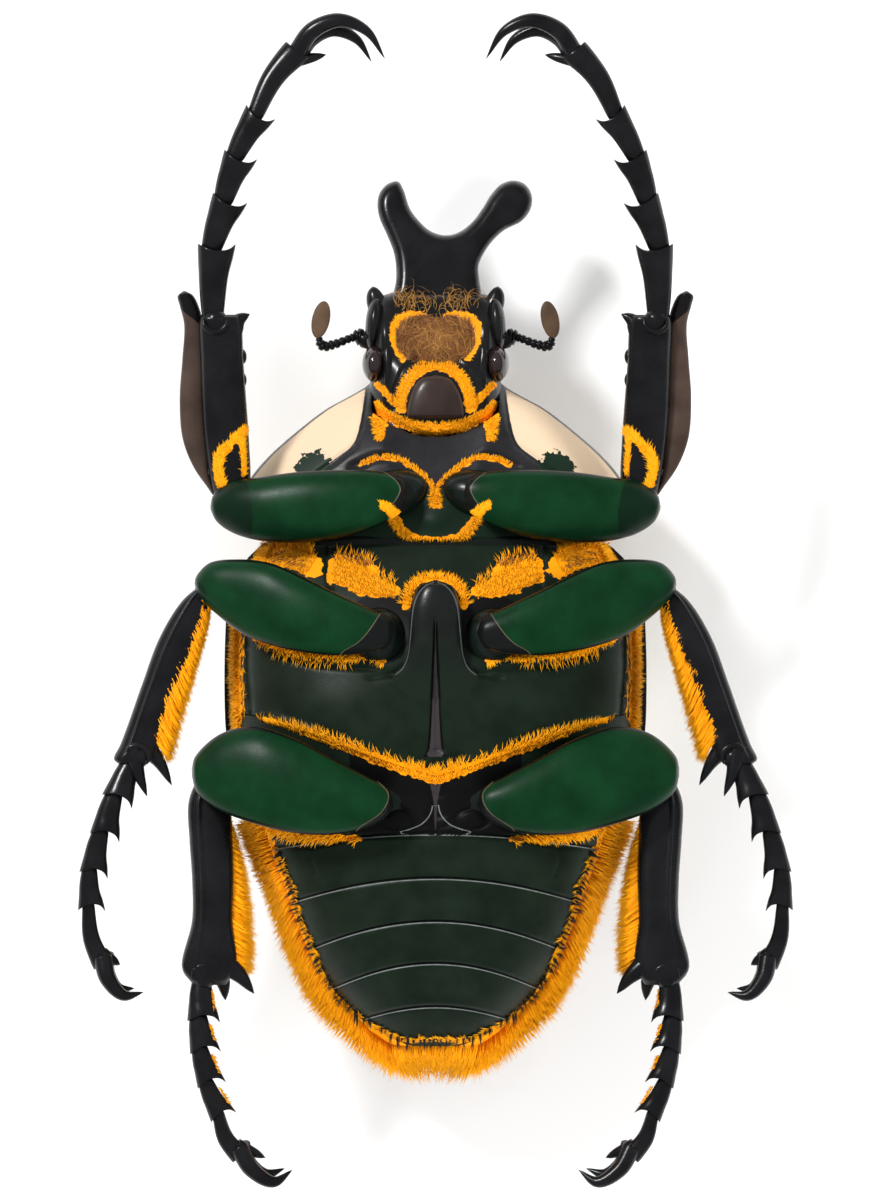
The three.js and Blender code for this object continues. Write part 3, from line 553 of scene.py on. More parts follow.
HAIRY = ("hairy", colour(0.95, 0.33, 0.004), 0.75, 0.9)
BRUSH = ("brush", colour(0.07, 0.028, 0.013), 0.7, 0.8)
SLIT_ZONES = [
    ("slit_edge", colour(0.001, 0.001, 0.001), 0.6, 0.05),
    ("slit", colour(0.035, 0.03, 0.031), 0.4, 0.05),
]
PLATE = zoned_material(
    "green_black_plates",
    [
        # Painted shade: a near-black line along the groove of each belly seam.
        ("seam_shade", colour(0.001, 0.0015, 0.001), 0.6, 0.05),
        # Painted shade: near black in the hollows round the middle hips and between the hind hips.
        ("hollow", colour(0.003, 0.003, 0.003), 0.5, 0.3),
        *SLIT_ZONES, HAIRY,
    ],
    0.4, 0.0, (0.004, 0.009, 0.005), (0.008, 0.015, 0.009),
    # The seam line is a painted highlight: pale, behind each belly seam and along the hips' outlines.
    line=("seam", colour(0.2, 0.22, 0.21), 0.045), specular=0.11,
)
KEEL_SHELL = zoned_material(
    "keel_shell",
    [("merging", colour(0.006, 0.012, 0.007), 0.4, 0.02), *SLIT_ZONES],
    0.28, 0.05, (0.004, 0.0045, 0.0045), (0.007, 0.0085, 0.008),
    # The edge line is a painted highlight along the keel's top.
    line=("edge", colour(0.09, 0.1, 0.1), 0.05),
)
BROWN_SHELL = zoned_material(
    "brown_flange",
    [("tip", colour(0.005, 0.004, 0.004), 0.26, 0.2)],
    0.4, 0.0, (0.038, 0.024, 0.018), (0.062, 0.04, 0.031),
)
HEAD_SHELL = zoned_material(
    "head_shell", [HAIRY, BRUSH], 0.24, 0.1, (0.004, 0.004, 0.004), (0.009, 0.009, 0.009),
)
SHIELD_SHELL = zoned_material(
    "cream_and_green_shield",
    [
        ("cream", colour(0.7, 0.53, 0.36), 0.6, 0.12),
        ("stripe", colour(0.008, 0.007, 0.007), 0.45, 0.25),
        ("blotch", colour(0.006, 0.018, 0.009), 0.5, 1.8),
        HAIRY,
    ],
    0.3, 0.0, (0.011, 0.011, 0.012), (0.021, 0.02, 0.022),
)
THIGH = zoned_material(
    "deep_green_thigh",
    [
        # Painted shade: near black where the thigh turns away at its edges and at its ends.
        ("rim", colour(0.003, 0.006, 0.004), 0.3, 0.0),
        ("root", colour(0.006, 0.007, 0.007), 0.3, 0.1),
        ("cap", colour(0.0025, 0.014, 0.006), 0.34, 0.5),
    ],
    0.33, 0.0, (0.002, 0.02, 0.0065), (0.0035, 0.032, 0.0105),
    # The root line is a painted highlight: a pale curve along the border of the thigh's dark root.
    line=("root", colour(0.12, 0.1, 0.06), 0.05), specular=0.1,
)
SHIN = zoned_material("black_shin", [HAIRY], 0.26, 0.08, BLACK, (0.007, 0.007, 0.008))
WING_CASE = zoned_material(
    "velvet_wing_case",
    [("cream", colour(0.8, 0.68, 0.46), 0.6, 0.5), ("edge", colour(0.008, 0.007, 0.007), 0.35, 0.0)],
    0.6, 0.0, (0.03, 0.009, 0.005), (0.06, 0.02, 0.011), pits=3600.0,
)


# Body trunks

CASE_WALL = 0.9
GAP = 0.3
CASE_HALF = [
    (-51.4, 0), (-50.6, 4.2), (-48.5, 8.0), (-44, 12.4), (-39, 15.6), (-34, 17.7), (-29, 19.5), (-24, 21.2),
    (-19, 22.7), (-13, 23.5), (-0.5, 23.3), (2.2, 22.6), (4.4, 21.2), (CASE_FRONT, 19.4),
]
CASE_RIM = [(-51.4, 12.6), (-46, 13.4), (-38, 15.2), (-30, 16.2), (-22, 16.5), (CASE_FRONT, 16.5)]
CASE_LOW = [
    (-51.4, 12.4), (-50.2, 10.2), (-47, 7.0), (-42, 3.8), (-36, 1.5), (-30, 0.2), (-24, -0.4), (-4, -0.4),
    (2, 0), (CASE_FRONT, 1.6),
]
BODY_HIGH = [
    (-51.4, 12.8), (-50.2, 16.6), (-48.6, 19.4), (-45, 22.4), (-40, 25.0), (-35, 26.5), (-30, 27.2),
    (-22, 27.6), (-18, 29.4), (-12, 30.4), (-5, 30.0), (0, 28.5), (3, 27.0), (CASE_FRONT, 25.2),
]
BODY_END = -50.2
HIND_BODY = Trunk(
    CASE_HALF, CASE_RIM, CASE_LOW, BODY_HIGH, 2.3, 2.4, (CASE_FRONT, BODY_END),
    lip=0.35, inset=CASE_WALL + GAP,
)
CASES = Trunk(CASE_HALF, CASE_RIM, CASE_LOW, CASE_RIM, 2.3, 2.4, (CASE_FRONT, -51.4), lip=0.3)

SHIELD_END = 6.6
NECK = 24.5
SHIELD = Trunk(
    half=[
        (SHIELD_END, 19.6), (8.9, 21.1), (11.1, 21.7), (13.3, 20.9), (16, 18.7), (18.6, 15.8), (21.3, 12.3),
        (22.8, 9.6), (23.8, 7.9), (NECK, 7.2),
    ],
    rim=[(SHIELD_END, 15.4), (12, 14.6), (NECK, 13.4)],
    low=[(SHIELD_END, 1.0), (9, -0.3), (14, -0.4), (16.5, 0.2), (19.5, 2.0), (22.5, 4.6), (NECK, 7.0)],
    high=[(SHIELD_END, 24.6), (11, 24.2), (16, 23.2), (20, 21.4), (NECK, 18.6)],
    over=2.0, under=2.3, ends=(NECK, SHIELD_END),
)
HEAD = Trunk(
    half=[
        (17.9, 4.4), (18.6, 6.2), (20, 7.1), (22, 7.5), (25, 7.3), (27.5, 7.5), (30.6, 7.8), (32.4, 7.6),
        (33.6, 7.0), (34.5, 5.0),
    ],
    rim=[(17.9, 14.6), (34.5, 14.4)],
    low=[(17.9, 10.0), (20, 8.8), (26, 8.4), (31, 9.6), (34.5, 12.2)],
    high=[(17.9, 19.4), (19, 20.9), (23, 21.2), (27, 20.4), (31, 19.2), (34.5, 16.6)],
    over=2.5, under=2.5, ends=(34.5, 17.9), lip=1.0,
)

# Bands of bristles on the beetle's left: a path, its two widths, and the ways they lie at its two ends

BANDS = {
    "head": [
        (
            [
                (1.3, 31.5), (2.7, 31.6), (4.0, 31.2), (4.6, 30.3), (4.65, 29.2), (4.2, 28.0),
                (3.6, 26.9),
            ],
            (1.2, 0.8), (0.1, 1), (1, -0.4),
        ),
        (
            [(3.9, 21.3), (3.6, 23.0), (2.8, 24.6), (1.4, 25.8), (0, 26.3)],
            (1.15, 1.25), (1, 0.6), (0, 1),
        ),
        ([(6.5, 24.0), (5.4, 22.9), (4.3, 21.7)], (0.7, 0.8), (0.6, 0.8), (0.6, 0.8)),
        ([(6.5, 21.9), (6.0, 21.0), (4.4, 20.0), (2.3, 19.2), (0, 18.9)], (0.8, 1.4), (0.3, 1), (0, 1)),
    ],
    "fore": [
        ([(6.15, 20.3), (6.1, 19.1), (6.05, 17.9)], (1.8, 0.7), (1, 0.3), (0.6, -0.6)),
        (
            [(8.3, 15.0), (6.8, 15.55), (4.7, 15.75), (2.9, 14.9), (1.4, 13.7), (0.2, 12.6)],
            (0.45, 0.5), (0.2, 1), (0.3, 1),
        ),
        ([(0.05, 12.6), (0.1, 11.8), (0.2, 10.4)], (0.15, 0.9), (1, 0.2), (0.6, -0.6)),
        (
            [(6.0, 10.8), (4.8, 9.6), (3.8, 7.9), (2.2, 6.8), (0.2, 6.6)],
            (1.2, 0.8), (0.7, -0.4), (0.1, -1),
        ),
    ],
    "patches": [
        ([(19.2, 4.9), (16.6, 4.9), (14.8, 4.3), (13.7, 3.7)], (2.6, 2.5), (0.7, 0.7), (0.3, 0.9)),
        ([(11.2, 3.2), (9.6, 3.0), (7.9, 2.6)], (2.8, 3.6), (0.2, 1), (0.1, 1)),
        ([(8.6, 2.1), (6.6, 1.3), (4.4, 0.9)], (2.8, 1.1), (0.4, 1), (0.3, 1)),
        ([(3.2, -0.6), (2.85, 1.0), (1.65, 2.15), (0, 2.4)], (1.0, 0.6), (0.7, 0.6), (0, 1)),
    ],
    "seams": [
        (
            [(20.2, -4.2), (16.5, -5.5), (13.4, -6.0), (10.0, -6.2), (7.4, -6.2), (5.6, -6.8)],
            (0.6, 0.3), (0, -1), (0.2, -1),
        ),
        ([(21.9, -2.4), (22.0, -8.0), (21.8, -13.2)], (0.7, 0.7), (-0.6, 0.3), (-0.6, -0.3)),
        (
            [(18.9, -13.5), (17.2, -13.8), (14.0, -14.85), (10.0, -16.25), (3.0, -18.75), (0, -19.65)],
            (0.2, 1.4), (0.4, 1), (0.1, 1),
        ),
    ],
    "flanks": [
        ([(20.4, -25.0), (15.0, -26.1), (8.4, -26.4)], (1.3, 0.5), (0.6, -0.6), (0.6, -0.5)),
        ([(20.0, -21.6), (19.7, -24.0), (18.9, -27.4)], (1.6, 2.0), (0.8, -0.5), (0.8, -0.5)),
    ],
}


def band_distance(bands, x, y):
    """How far inside the nearest band a point of the plan lies, in millimetres."""
    best = np.full(np.shape(x), NOWHERE)
    for path, widths, _, _ in bands:
        spots = curve(path)(evenly(24))
        for k in range(24):
            half = (widths[0] + (widths[1] - widths[0]) * k / 23) / 2
            dist = away_from([spots[k, :2], spots[k + 1, :2]], np.abs(x), y)
            best = np.maximum(best, half - dist)
    return best


def hairy_mark(bands, fringe=None, parting=None):
    """Above zero on the bands and the fringe, but not on the bare parting between two patches."""
    def values(points, steps, angles):
        x, y, _ = axes(points)
        near = band_distance(bands, x, y)
        if parting:
            near = np.minimum(near, away_from(parting, np.abs(x), y) - 0.3)
        if fringe is not None:
            near = np.maximum(near, fringe(x, y))
        return np.where(np.sin(angles)[None] >= -0.02, near, NOWHERE)

    return values


# Fore body

STERNUM_EDGE = [
    (7.4, 26), (7.7, 22.6), (8.2, 19.4), (9.0, 17.2), (11.0, 15.6), (13.2, 14.0), (14.0, 11.0),
    (13.0, 6.0),
]
sternum_half = smooth([(y, x) for x, y in reversed(STERNUM_EDGE)])


def sculpt_shield(points):
    x, y, z = axes(points)
    side = np.abs(x)
    upper = z > SHIELD.rim(y)
    cut = groove(STERNUM_EDGE, 0.28, 0.35, x, y)
    cut += groove(
        [(0, 12.9), (1.4, 14.0), (2.9, 15.3), (4.7, 16.1), (6.8, 15.9), (9.0, 14.8)], 0.5, 0.45, x, y,
    )
    cut += 1.3 * np.exp(-(((side - 4.6) / 2.6) ** 2 + ((y - 11.2) / 2.0) ** 2) * 2)
    rise = 0.5 * np.exp(-((side / 2.4) ** 2 + ((y - 8.9) / 1.6) ** 2) * 2)
    arc = 18.2 + 2.6 * (side / 6.8) ** 2
    neck = np.where(side < 7.0, np.where(y > arc, 15.0, 20.9 + 0.5 * (arc - y)), 40.0)
    points[..., 2] = np.where(upper, np.minimum(z - cut + rise, neck), np.maximum(z, 0))
    return points


def cream_mark(points, steps, angles):
    x, y, z = axes(points)
    side = np.abs(x)
    width = SHIELD.section(y)[0]
    sternum = side - sternum_half(y) - 0.25
    margin = (width - side) - 0.4 + 3.0 * (z < SHIELD.rim(y))
    return np.where(z > SHIELD.rim(y) - 1.0, np.minimum(sternum, margin), 1.0)


def stripe_mark(points, steps, angles):
    """Black stripes along the back of the shield, and the dark rim round it."""
    x, y, z = axes(points)
    side = np.abs(x)
    under = z < SHIELD.rim(y) - 1.5
    second = side - 5.2 - 0.12 * (15 - y)
    stripes = np.maximum.reduce([
        1.3 - side, 1.2 - np.abs(second), 1.0 - np.abs(side - 10.5), 0.9 - np.abs(side - 15.2),
    ])
    ends = np.minimum(y - SHIELD_END - 0.8, NECK - y)
    between_ends = np.where(under & (ends > 0.2), np.minimum(stripes, ends), -1.0)
    return between_ends + np.where(ends < 0.4, 2.0, 0.0) * under


def blotch_mark(points, steps, angles):
    x, y = np.abs(points[..., 0]), points[..., 1]
    spot = 2.1 - np.hypot(x - 13.5, (y - 14.3) * 0.95)
    behind = 12.0 - y
    return np.where(points[..., 2] > SHIELD.rim(y) - 0.6, np.maximum(spot, behind), -3.0)


shield_marks = {
    "cream": cream_mark, "stripe": stripe_mark, "blotch": blotch_mark,
    "hairy": hairy_mark(BANDS["fore"]),
}
piece(
    "shield_and_prosternum",
    [loft(SHIELD.skin, around(220, 0.62), close_ends(150, 0.5), sculpt_shield, shield_marks)],
    SHIELD_SHELL, ["pronotum", "prosternum"],
)


WAIST = Trunk(
    half=[(5.2, 18.9), (7.4, 18.9)], rim=[(5.2, 16.5), (7.4, 16.5)], low=[(5.2, 2.2), (7.4, 2.2)],
    high=[(5.2, 24.35), (7.4, 24.35)], over=2.3, under=2.3, ends=(7.4, 5.2),
)
piece("waist_skin", [loft(WAIST.skin, around(120), evenly(6))], HIP)


# Hind body

V_EDGE = [(0, -19.4), (3.9, -18.4), (9.5, -16.6), (15.0, -14.6), (19.2, -13.1), (26, -12.2)]
v_line = smooth(V_EDGE)


def between(front, back):
    """The hind body's skin between two lines, each a function of the distance from the midline."""
    def skin(t, angle):
        side = np.abs(23.4 * power(np.cos(angle), 2 / HIND_BODY.over))
        start, end = front(side), back(side)
        y = start + (end - start) * t[:, None]
        return HIND_BODY.points(y, angle + 0 * y)

    return skin


SEAMS = [
    (-25.8, 18.1, -27.6), (-30.7, 16.1, -33.6), (-35.5, 14.5, -39.1), (-40.2, 12.1, -43.6),
    (-45.1, 9.5, -47.3),
]


def seam_line(seam, x):
    """Y of a belly seam, an arc that falls back towards the sides."""
    centre, width, edge = seam
    share = np.abs(x) / width
    return centre + (edge - centre) * share**2


def beyond(line, x, y):
    """Distance outward from a line that is given by its distance from the midline at each y."""
    slope = (line(y + 0.1) - line(y - 0.1)) / 0.2
    return (np.abs(x) - line(y)) / np.sqrt(1 + slope**2)


HIPS_END = -25.9  # y at which the hind hips end and the belly begins
hip_line = smooth([(-25.6, 3.8), (-25.4, 3.0), (-24.8, 1.6), (-23.7, 0.6), (-22.2, 0.28), (-20.6, 0.28)])


def hollow_shade_mark(points, steps, angles):
    """Above zero in the painted shade between the hind hips and in the hollows round the middle ones."""
    x, y = np.abs(points[..., 0]), points[..., 1]
    hips = np.minimum(9.5 - x, np.minimum(y - HIPS_END, v_line(x) - y))
    sockets = 3.5 * (1 - np.hypot((x - 6.4) / 3.9, (y + 3.1) / 3.6))
    return np.where(points[..., 2] > HIND_BODY.rim(y), np.maximum(hips, sockets), NOWHERE)


slit_half = smooth([
    (-17.5, 1.2), (-17.0, 0.95), (-16.4, 0.66), (-13.0, 0.42), (-9.0, 0.24), (-6.0, 0.12), (-2.2, 0.01),
])
wedge_half = smooth([(-25.6, 0.02), (-24.2, 0.12), (-22.4, 0.2), (-21.2, 0.42), (-19.6, 0.75)])


def wedge_mark(points, steps, angles):
    """Above zero in the pale wedge on the midline between the hips."""
    x, y, z = axes(points)
    return np.where((z > HIND_BODY.rim(y)) & (y > -25.6), wedge_half(y) - np.abs(x), NOWHERE)


SLIT_RIM = 0.24  # width of the dark rim of the slit


def slit_mark(edge):
    """Above zero in the slit of the keel and the breast, widened by an edge that narrows to the front."""
    def values(points, steps, angles):
        x, y, z = axes(points)
        width = slit_half(y) + edge * np.clip((-1.8 - y) / 4.0, 0.2, 1)
        ends = np.minimum(-2.0 - y, y + 17.3)
        return np.where(z > HIND_BODY.rim(y), np.minimum(width - np.abs(x), ends), NOWHERE)

    return values


def seam_highlight_mark(points, steps, angles):
    """Zero along the painted highlight lines: one behind each seam, and one that curves out between the
    hips.
    """
    x, y, z = axes(points)
    gaps = np.stack([(-1) ** k * (y - seam_line(seam, x) + 0.2) for k, seam in enumerate(SEAMS)])
    nearest = np.argmin(np.abs(gaps), axis=0)
    gap = np.take_along_axis(gaps, nearest[None], axis=0)[0]
    hip_gap = np.clip(beyond(hip_line, x, y), -0.8, 0.8)
    gap = np.where(y < HIPS_END, gap, np.where(y < -22.8, hip_gap, 0.3))
    return np.where(z > HIND_BODY.rim(y), gap, 1.0)


def seam_shade_mark(points, steps, angles):
    """Above zero in the dark line of painted shade along the groove of each seam."""
    x, y, z = axes(points)
    gaps = np.stack([np.abs(y - seam_line(seam, x) - 0.02) for seam in SEAMS])
    return np.where((z > HIND_BODY.rim(y)) & (y < -25.0), 0.13 - gaps.min(axis=0), NOWHERE)


def no_mark(points, steps, angles):
    return np.full(points.shape[:2], NOWHERE)


def sculpt_belly(points):
    x, y, z = axes(points)
    upper = z > HIND_BODY.rim(y)
    step = np.zeros_like(z)
    lines = [seam_line(seam, x) for seam in SEAMS]
    for k, line in enumerate(lines):
        after = lines[k + 1] if k + 1 < len(lines) else line - 6.0
        share = np.clip((line - y) / np.maximum(line - after, 0.1), 0, 1)
        inside = (y <= line) & (y > after)
        step = np.where(inside, 0.14 * share**3, step)
        step -= 0.36 * np.exp(-(((y - line) / 0.2) ** 2))
    lobe = groove([(13.6, -27.0), (13.9, -28.8), (13.2, -30.6)], 0.18, 0.22, x, y)
    lobe += groove([(0, -20.0), (0, -25.6)], 0.14, 0.5, x, y)
    lobe += groove([(1.1, -20.4), (0.45, -22.0), (0.5, -23.6), (1.4, -25.6)], 0.14, 0.3, x, y)
    away = ((np.abs(x) - 4.1) / 1.7) ** 2 + ((y + 24.2) / 1.1) ** 2
    lobe += 0.3 * np.exp(-(((np.sqrt(away) - 1) / 0.2) ** 2)) - 0.3 * np.exp(-(away**2))
    brim = groove([(0, -26.2), (8.5, -26.2), (13.5, -27.4), (18.5, -27.6)], 0.2, 0.3, x, y)
    points[..., 2] = np.where(upper, z + step - lobe - brim, z)
    return points


def slit_opening(y):
    """How far the slit of the breast and the keel has opened, from 0 at its front end to 1."""
    return np.clip((-2.2 - y) / 14.4, 0, 1) ** 1.6


def sculpt_thorax(points):
    x, y, z = axes(points)
    side = np.abs(x)
    upper = z > HIND_BODY.rim(y)
    cut = groove([(12.0, 6.0), (12.0, 3.8), (11.6, 1.4)], 0.22, 0.4, x, y)
    cut += groove([(3.2, -7.4), (5.2, -8.3), (7.2, -8.6)], 0.3, 0.3, x, y)
    cut += groove([(20.9, -3.4), (20.8, -8.0), (20.4, -12.6)], 0.25, 0.4, x, y)
    cut += groove([(21.2, -5.0), (13.0, -7.2), (7.0, -7.6), (4.4, -8.2)], 0.35, 0.3, x, y)
    slit = 0.8 * np.exp(-((side / (0.12 + 0.65 * slit_opening(y))) ** 4))
    cut += slit * np.clip((-7.0 - y) / 1.5, 0, 1) * np.clip((y + 17.2) / 0.6, 0, 1)
    hollow = 1.6 * np.exp(-(((side - 6.4) / 2.8) ** 2 + ((y + 4.2) / 2.2) ** 2) * 1.6)
    swell = 0.7 * np.exp(-(((side - 10.0) / 7.0) ** 2 + ((y + 12.0) / 3.6) ** 2))
    lip = 0.35 * np.exp(-((y - v_line(side) - 0.5) / 0.6) ** 2)
    points[..., 2] = np.where(upper, z - cut - hollow + swell + lip, z)
    return points


FRINGE_ROOTS = [
    (19.2, -23.6), (18.1, -28.2), (16.8, -31.6), (15.7, -35.0), (14.3, -38.8), (13.0, -42.2), (11.4, -45.2),
    (9.2, -47.4), (5.6, -49.4), (0, -50.1),
]
FRINGE_TIPS = [
    (22.4, -25.0), (20.7, -29.2), (18.8, -33.8), (17.3, -38.0), (15.7, -42.0), (14.0, -45.2), (11.5, -48.2),
    (8.3, -51.0), (4.4, -53.5), (0, -54.6),
]
BELLY_BORDER = [
    (19.0, -22.0), (18.3, -26.0), (17.9, -28.6), (17.1, -30.6), (16.3, -32.6), (15.9, -34.6), (15.1, -36.6),
    (14.3, -38.6), (13.6, -40.6), (12.5, -42.6), (11.1, -44.6), (9.0, -46.6), (5.6, -48.6), (2.6, -49.8),
    (0, -50.1),
]
fringe_inner = smooth([(y, x) for x, y in reversed(BELLY_BORDER)])


def fringe_distance(x, y):
    return np.where(y < -27.0, np.abs(x) - fringe_inner(y) + 0.2, -3.0)


def straight(value):
    return lambda side: value + 0 * side


PARTING = [(12.0, 6.4), (12.2, 4.0), (12.4, 1.6)]
breast_marks = {
    "hairy": hairy_mark(BANDS["patches"] + BANDS["seams"], parting=PARTING),
    "seam": no_mark, "seam_shade": no_mark, "hollow": hollow_shade_mark,
    "slit": slit_mark(0.0), "slit_edge": slit_mark(SLIT_RIM),
}
breast_skin = between(straight(CASE_FRONT - 0.1), v_line)
piece(
    "breast",
    [loft(breast_skin, around(240, 0.72), close_ends(150, 0.4), sculpt_thorax, breast_marks)],
    PLATE, ["thorax"],
)
belly_marks = {
    "hairy": hairy_mark(BANDS["flanks"] + BANDS["seams"], fringe_distance),
    "seam": seam_highlight_mark, "seam_shade": seam_shade_mark, "hollow": hollow_shade_mark,
    "slit": wedge_mark, "slit_edge": no_mark,
}
belly_skin = between(lambda side: v_line(side) - 0.1, straight(BODY_END + 0.02))
piece(
    "belly",
    [loft(belly_skin, around(234, 0.72), evenly(230), sculpt_belly, belly_marks)],
    PLATE, ["abdomen", "tail_plate"],
)

KEEL_EDGE = [
    (0.2, 2.2), (1.8, 1.5), (2.75, -0.6), (2.95, -4.0), (3.3, -6.6), (4.9, -8.4), (5.2, -11.0),
    (3.2, -15.4), (0.9, -18.4),
]
KEEL = blade(
    on_side(-1, KEEL_EDGE), KEEL_EDGE,
    [(0, 30.4), (0.4, 30.6), (0.58, 29.9), (0.75, 29.0), (1, 27.2)],
    [(0, 0.3), (0.12, 1.6), (0.4, 2.1), (0.58, 1.75), (0.75, 1.6), (1, 0.8)], 2.3,
)


def sculpt_keel(points):
    x, y, z = axes(points)
    open_half = 0.08 + 0.7 * slit_opening(y)
    reach = np.clip((-1.8 - y) / 1.5, 0, 1) * np.clip((y + 17.6) / 0.8, 0, 1)
    cut = 0.75 * reach * np.exp(-((x / (open_half + 0.12)) ** 4))
    points[..., 2] = np.where(z > 28.0, z - cut, z)
    return points


HIGHLIGHT_END = -8.4  # y at which the painted highlight along the keel's edge ends
keel_highlight_line = smooth([
    (HIGHLIGHT_END, 4.6), (-7.5, 3.6), (-6.2, 3.05), (-4.4, 2.8), (-0.7, 2.4), (0.8, 1.8), (1.7, 0.9),
    (1.9, 0.3),
])


def keel_highlight_mark(points, steps, angles):
    """Zero along the painted highlight line near the edge of the keel's top."""
    x, y, z = axes(points)
    return np.where(y < HIGHLIGHT_END, -1.0, np.where(z > 28.5, beyond(keel_highlight_line, x, y), 1.0))


def merging_mark(points, steps, angles):
    """Turns slowly from the keel's black to the colour of the breast."""
    return 0.01 * (-5.5 - points[..., 1])


keel_marks = {
    "merging": merging_mark, "edge": keel_highlight_mark,
    "slit": slit_mark(0.0), "slit_edge": slit_mark(SLIT_RIM),
}
keel = loft(KEEL, around(160, 0.7), close_ends(150), sculpt_keel, keel_marks)
piece("keel_knob", [keel], KEEL_SHELL, ["keel"])


# Wing cases and scutellum

CASE_TIP = -51.36
SCUTELLUM_TIP = -4.6
scutellum_half = smooth([(SCUTELLUM_TIP, 0), (-4.2, 0.5), (1.2, 2.6), (CASE_FRONT, 4.6)])


def wing_case(side):
    """A thin dome from its rim to the seam along the back, with its inner face a wall's thickness in."""
    def skin(t, turn):
        y = (CASE_FRONT + (CASE_TIP - CASE_FRONT) * t)[:, None]
        width, rim, _, drop = CASES.section(y)
        seam = np.where(y > SCUTELLUM_TIP, scutellum_half(y), 0) + GAP / 2
        share = np.minimum(seam / width, 1) ** (CASES.under / 2)
        last = np.arccos(np.clip(share, 0, 1))
        outer = turn <= math.pi
        u = np.where(outer, turn / math.pi, (TURN - turn) / math.pi)
        angle = last * u
        wall = np.where(outer, 0, CASE_WALL)
        x = np.maximum(width - wall, 0.01) * np.cos(angle) ** (2 / CASES.under)
        z = rim - np.maximum(drop - wall, 0.01) * np.sin(angle) ** (2 / CASES.under)
        z = np.where(outer, np.maximum(z, 0), np.maximum(z, CASE_WALL * 0.8))
        return np.stack([side * np.maximum(x, seam), y + 0 * x, z], axis=-1)

    return skin


def case_cream(points, steps, angles):
    """Cream shoulders and a cream band along the sides, away from the maroon back."""
    x, y, z = np.abs(points[..., 0]), points[..., 1], points[..., 2]
    band = 1.8 - np.abs(x - 19.4 - 0.02 * (y + 20) - 1.2 * np.sin(y * 0.35))
    shoulder = 5.0 - np.hypot(x - 10.5, y - 5.5)
    return np.where((y < 4.5) & (z < 9.5), np.maximum(np.where(y > -36, band, -1), shoulder), -1.0)


def case_edge(points, steps, angles):
    return 1.1 - (CASES.rim(points[..., 1]) - points[..., 2])


case_marks = {"cream": case_cream, "edge": case_edge}
case_turns = np.concatenate([
    close_ends(72, 0.6) * math.pi, math.pi + close_ends(30, 0.6)[1:] * math.pi,
])
for name, side in SIDES.items():
    case = loft(wing_case(side), case_turns, close_ends(150, 0.5), marks=case_marks)
    piece(f"{name}_case", [case], WING_CASE, [f"{name}_wing_case"])


def plate(outline, half, edge, cell=0.22, lean=0.0, level=0.0):
    """A flat plate over an outline, as thick as twice its half and rounded down towards its edge."""
    outline = np.array(outline)
    low, high = outline.min(axis=0) - cell, outline.max(axis=0) + cell
    counts = np.ceil((high - low) / cell).astype(int)
    bm = bmesh.new()
    bmesh.ops.create_grid(bm, x_segments=int(counts[0]), y_segments=int(counts[1]), size=1.0)
    bm.verts.ensure_lookup_table()
    plan = np.array([v.co[:2] for v in bm.verts])
    plan = low + (plan + 1) / 2 * (high - low)
    start, step = outline, np.roll(outline, -1, axis=0) - outline
    from_start = plan[:, None] - start
    along = np.clip(np.sum(from_start * step, axis=2) / np.sum(step * step, axis=1), 0, 1)
    gaps = from_start - along[..., None] * step
    nearest = np.argmin(np.linalg.norm(gaps, axis=2), axis=1)
    rows = np.arange(len(plan))
    gap = gaps[rows, nearest]
    crossed = (start[:, 1] > plan[:, 1:2]) != (start[:, 1] + step[:, 1] > plan[:, 1:2])
    at_x = start[:, 0] + step[:, 0] * from_start[..., 1] / np.where(step[:, 1] == 0, 1e-9, step[:, 1])
    inside = np.sum(crossed & (plan[:, :1] < at_x), axis=1) % 2 == 1
    depth = np.where(inside, 1, -1) * np.linalg.norm(gap, axis=1)
    kept = depth > -0.6 * cell
    for v, is_kept in zip(list(bm.verts), kept):
        v.tag = bool(is_kept)
    places = {v: k for k, v in enumerate(bm.verts)}
    bmesh.ops.delete(bm, geom=[v for v in bm.verts if not v.tag], context="VERTS")
    for v in bm.verts:
        k = places[v]
        on_edge = v.is_boundary or depth[k] < 0
        spot = plan[k] - gap[k] if on_edge else plan[k]
        rise = half * math.sqrt(1 - (1 - min(max(depth[k], 0), edge) / edge) ** 2)
        v.co = (*spot, 0 if on_edge else rise)
    copy = bmesh.ops.duplicate(bm, geom=bm.verts[:] + bm.edges[:] + bm.faces[:])["geom"]
    for v in (g for g in copy if isinstance(g, bmesh.types.BMVert)):
        v.co.z = -v.co.z
    bmesh.ops.remove_doubles(bm, verts=bm.verts, dist=1e-4)
    bmesh.ops.recalc_face_normals(bm, faces=bm.faces)
    for v in bm.verts:
        place = np.array([v.co.x, v.co.y, v.co.z + level - lean * (v.co.y - outline[0][1])])
        v.co = (place + SHIFT) * MM
    return bm


shield_point = [(-4.3, 6.2), (4.3, 6.2), (2.5, 1.2), (0.4, -4.0), (-0.4, -4.0), (-2.5, 1.2)]
piece("scutellum_plate", [plate(shield_point, 0.8, 0.5, level=0.85)], SHELL, ["scutellum"])


# Head

MOUTH_Y = 29.0  # middle of the brush over the mouth
NOTCH_Y, NOTCH_RADIUS = 32.2, 1.2  # bare notch at the brush's front


def sculpt_head(points):
    x, y, z = axes(points)
    side = np.abs(x)
    upper = z > HEAD.rim(y)
    mouth = 1.2 * np.exp(-((side / 4.2) ** 4 + ((y - 29.2) / 2.9) ** 4))
    cut = mouth + groove([(7.2, 21.4), (5.4, 20.2), (3.0, 18.9), (0, 18.1)], 0.3, 0.3, x, y)
    cut += groove([(4.6, 21.2), (4.6, 23.4), (3.6, 25.6), (1.8, 27.0), (0, 27.4)], 0.25, 0.35, x, y)
    cheek = 0.8 * np.exp(-(((side - 5.8) / 1.0) ** 2 + ((y - 29.6) / 2.8) ** 2))
    points[..., 2] = np.where(upper, z - cut + cheek, z)
    return points


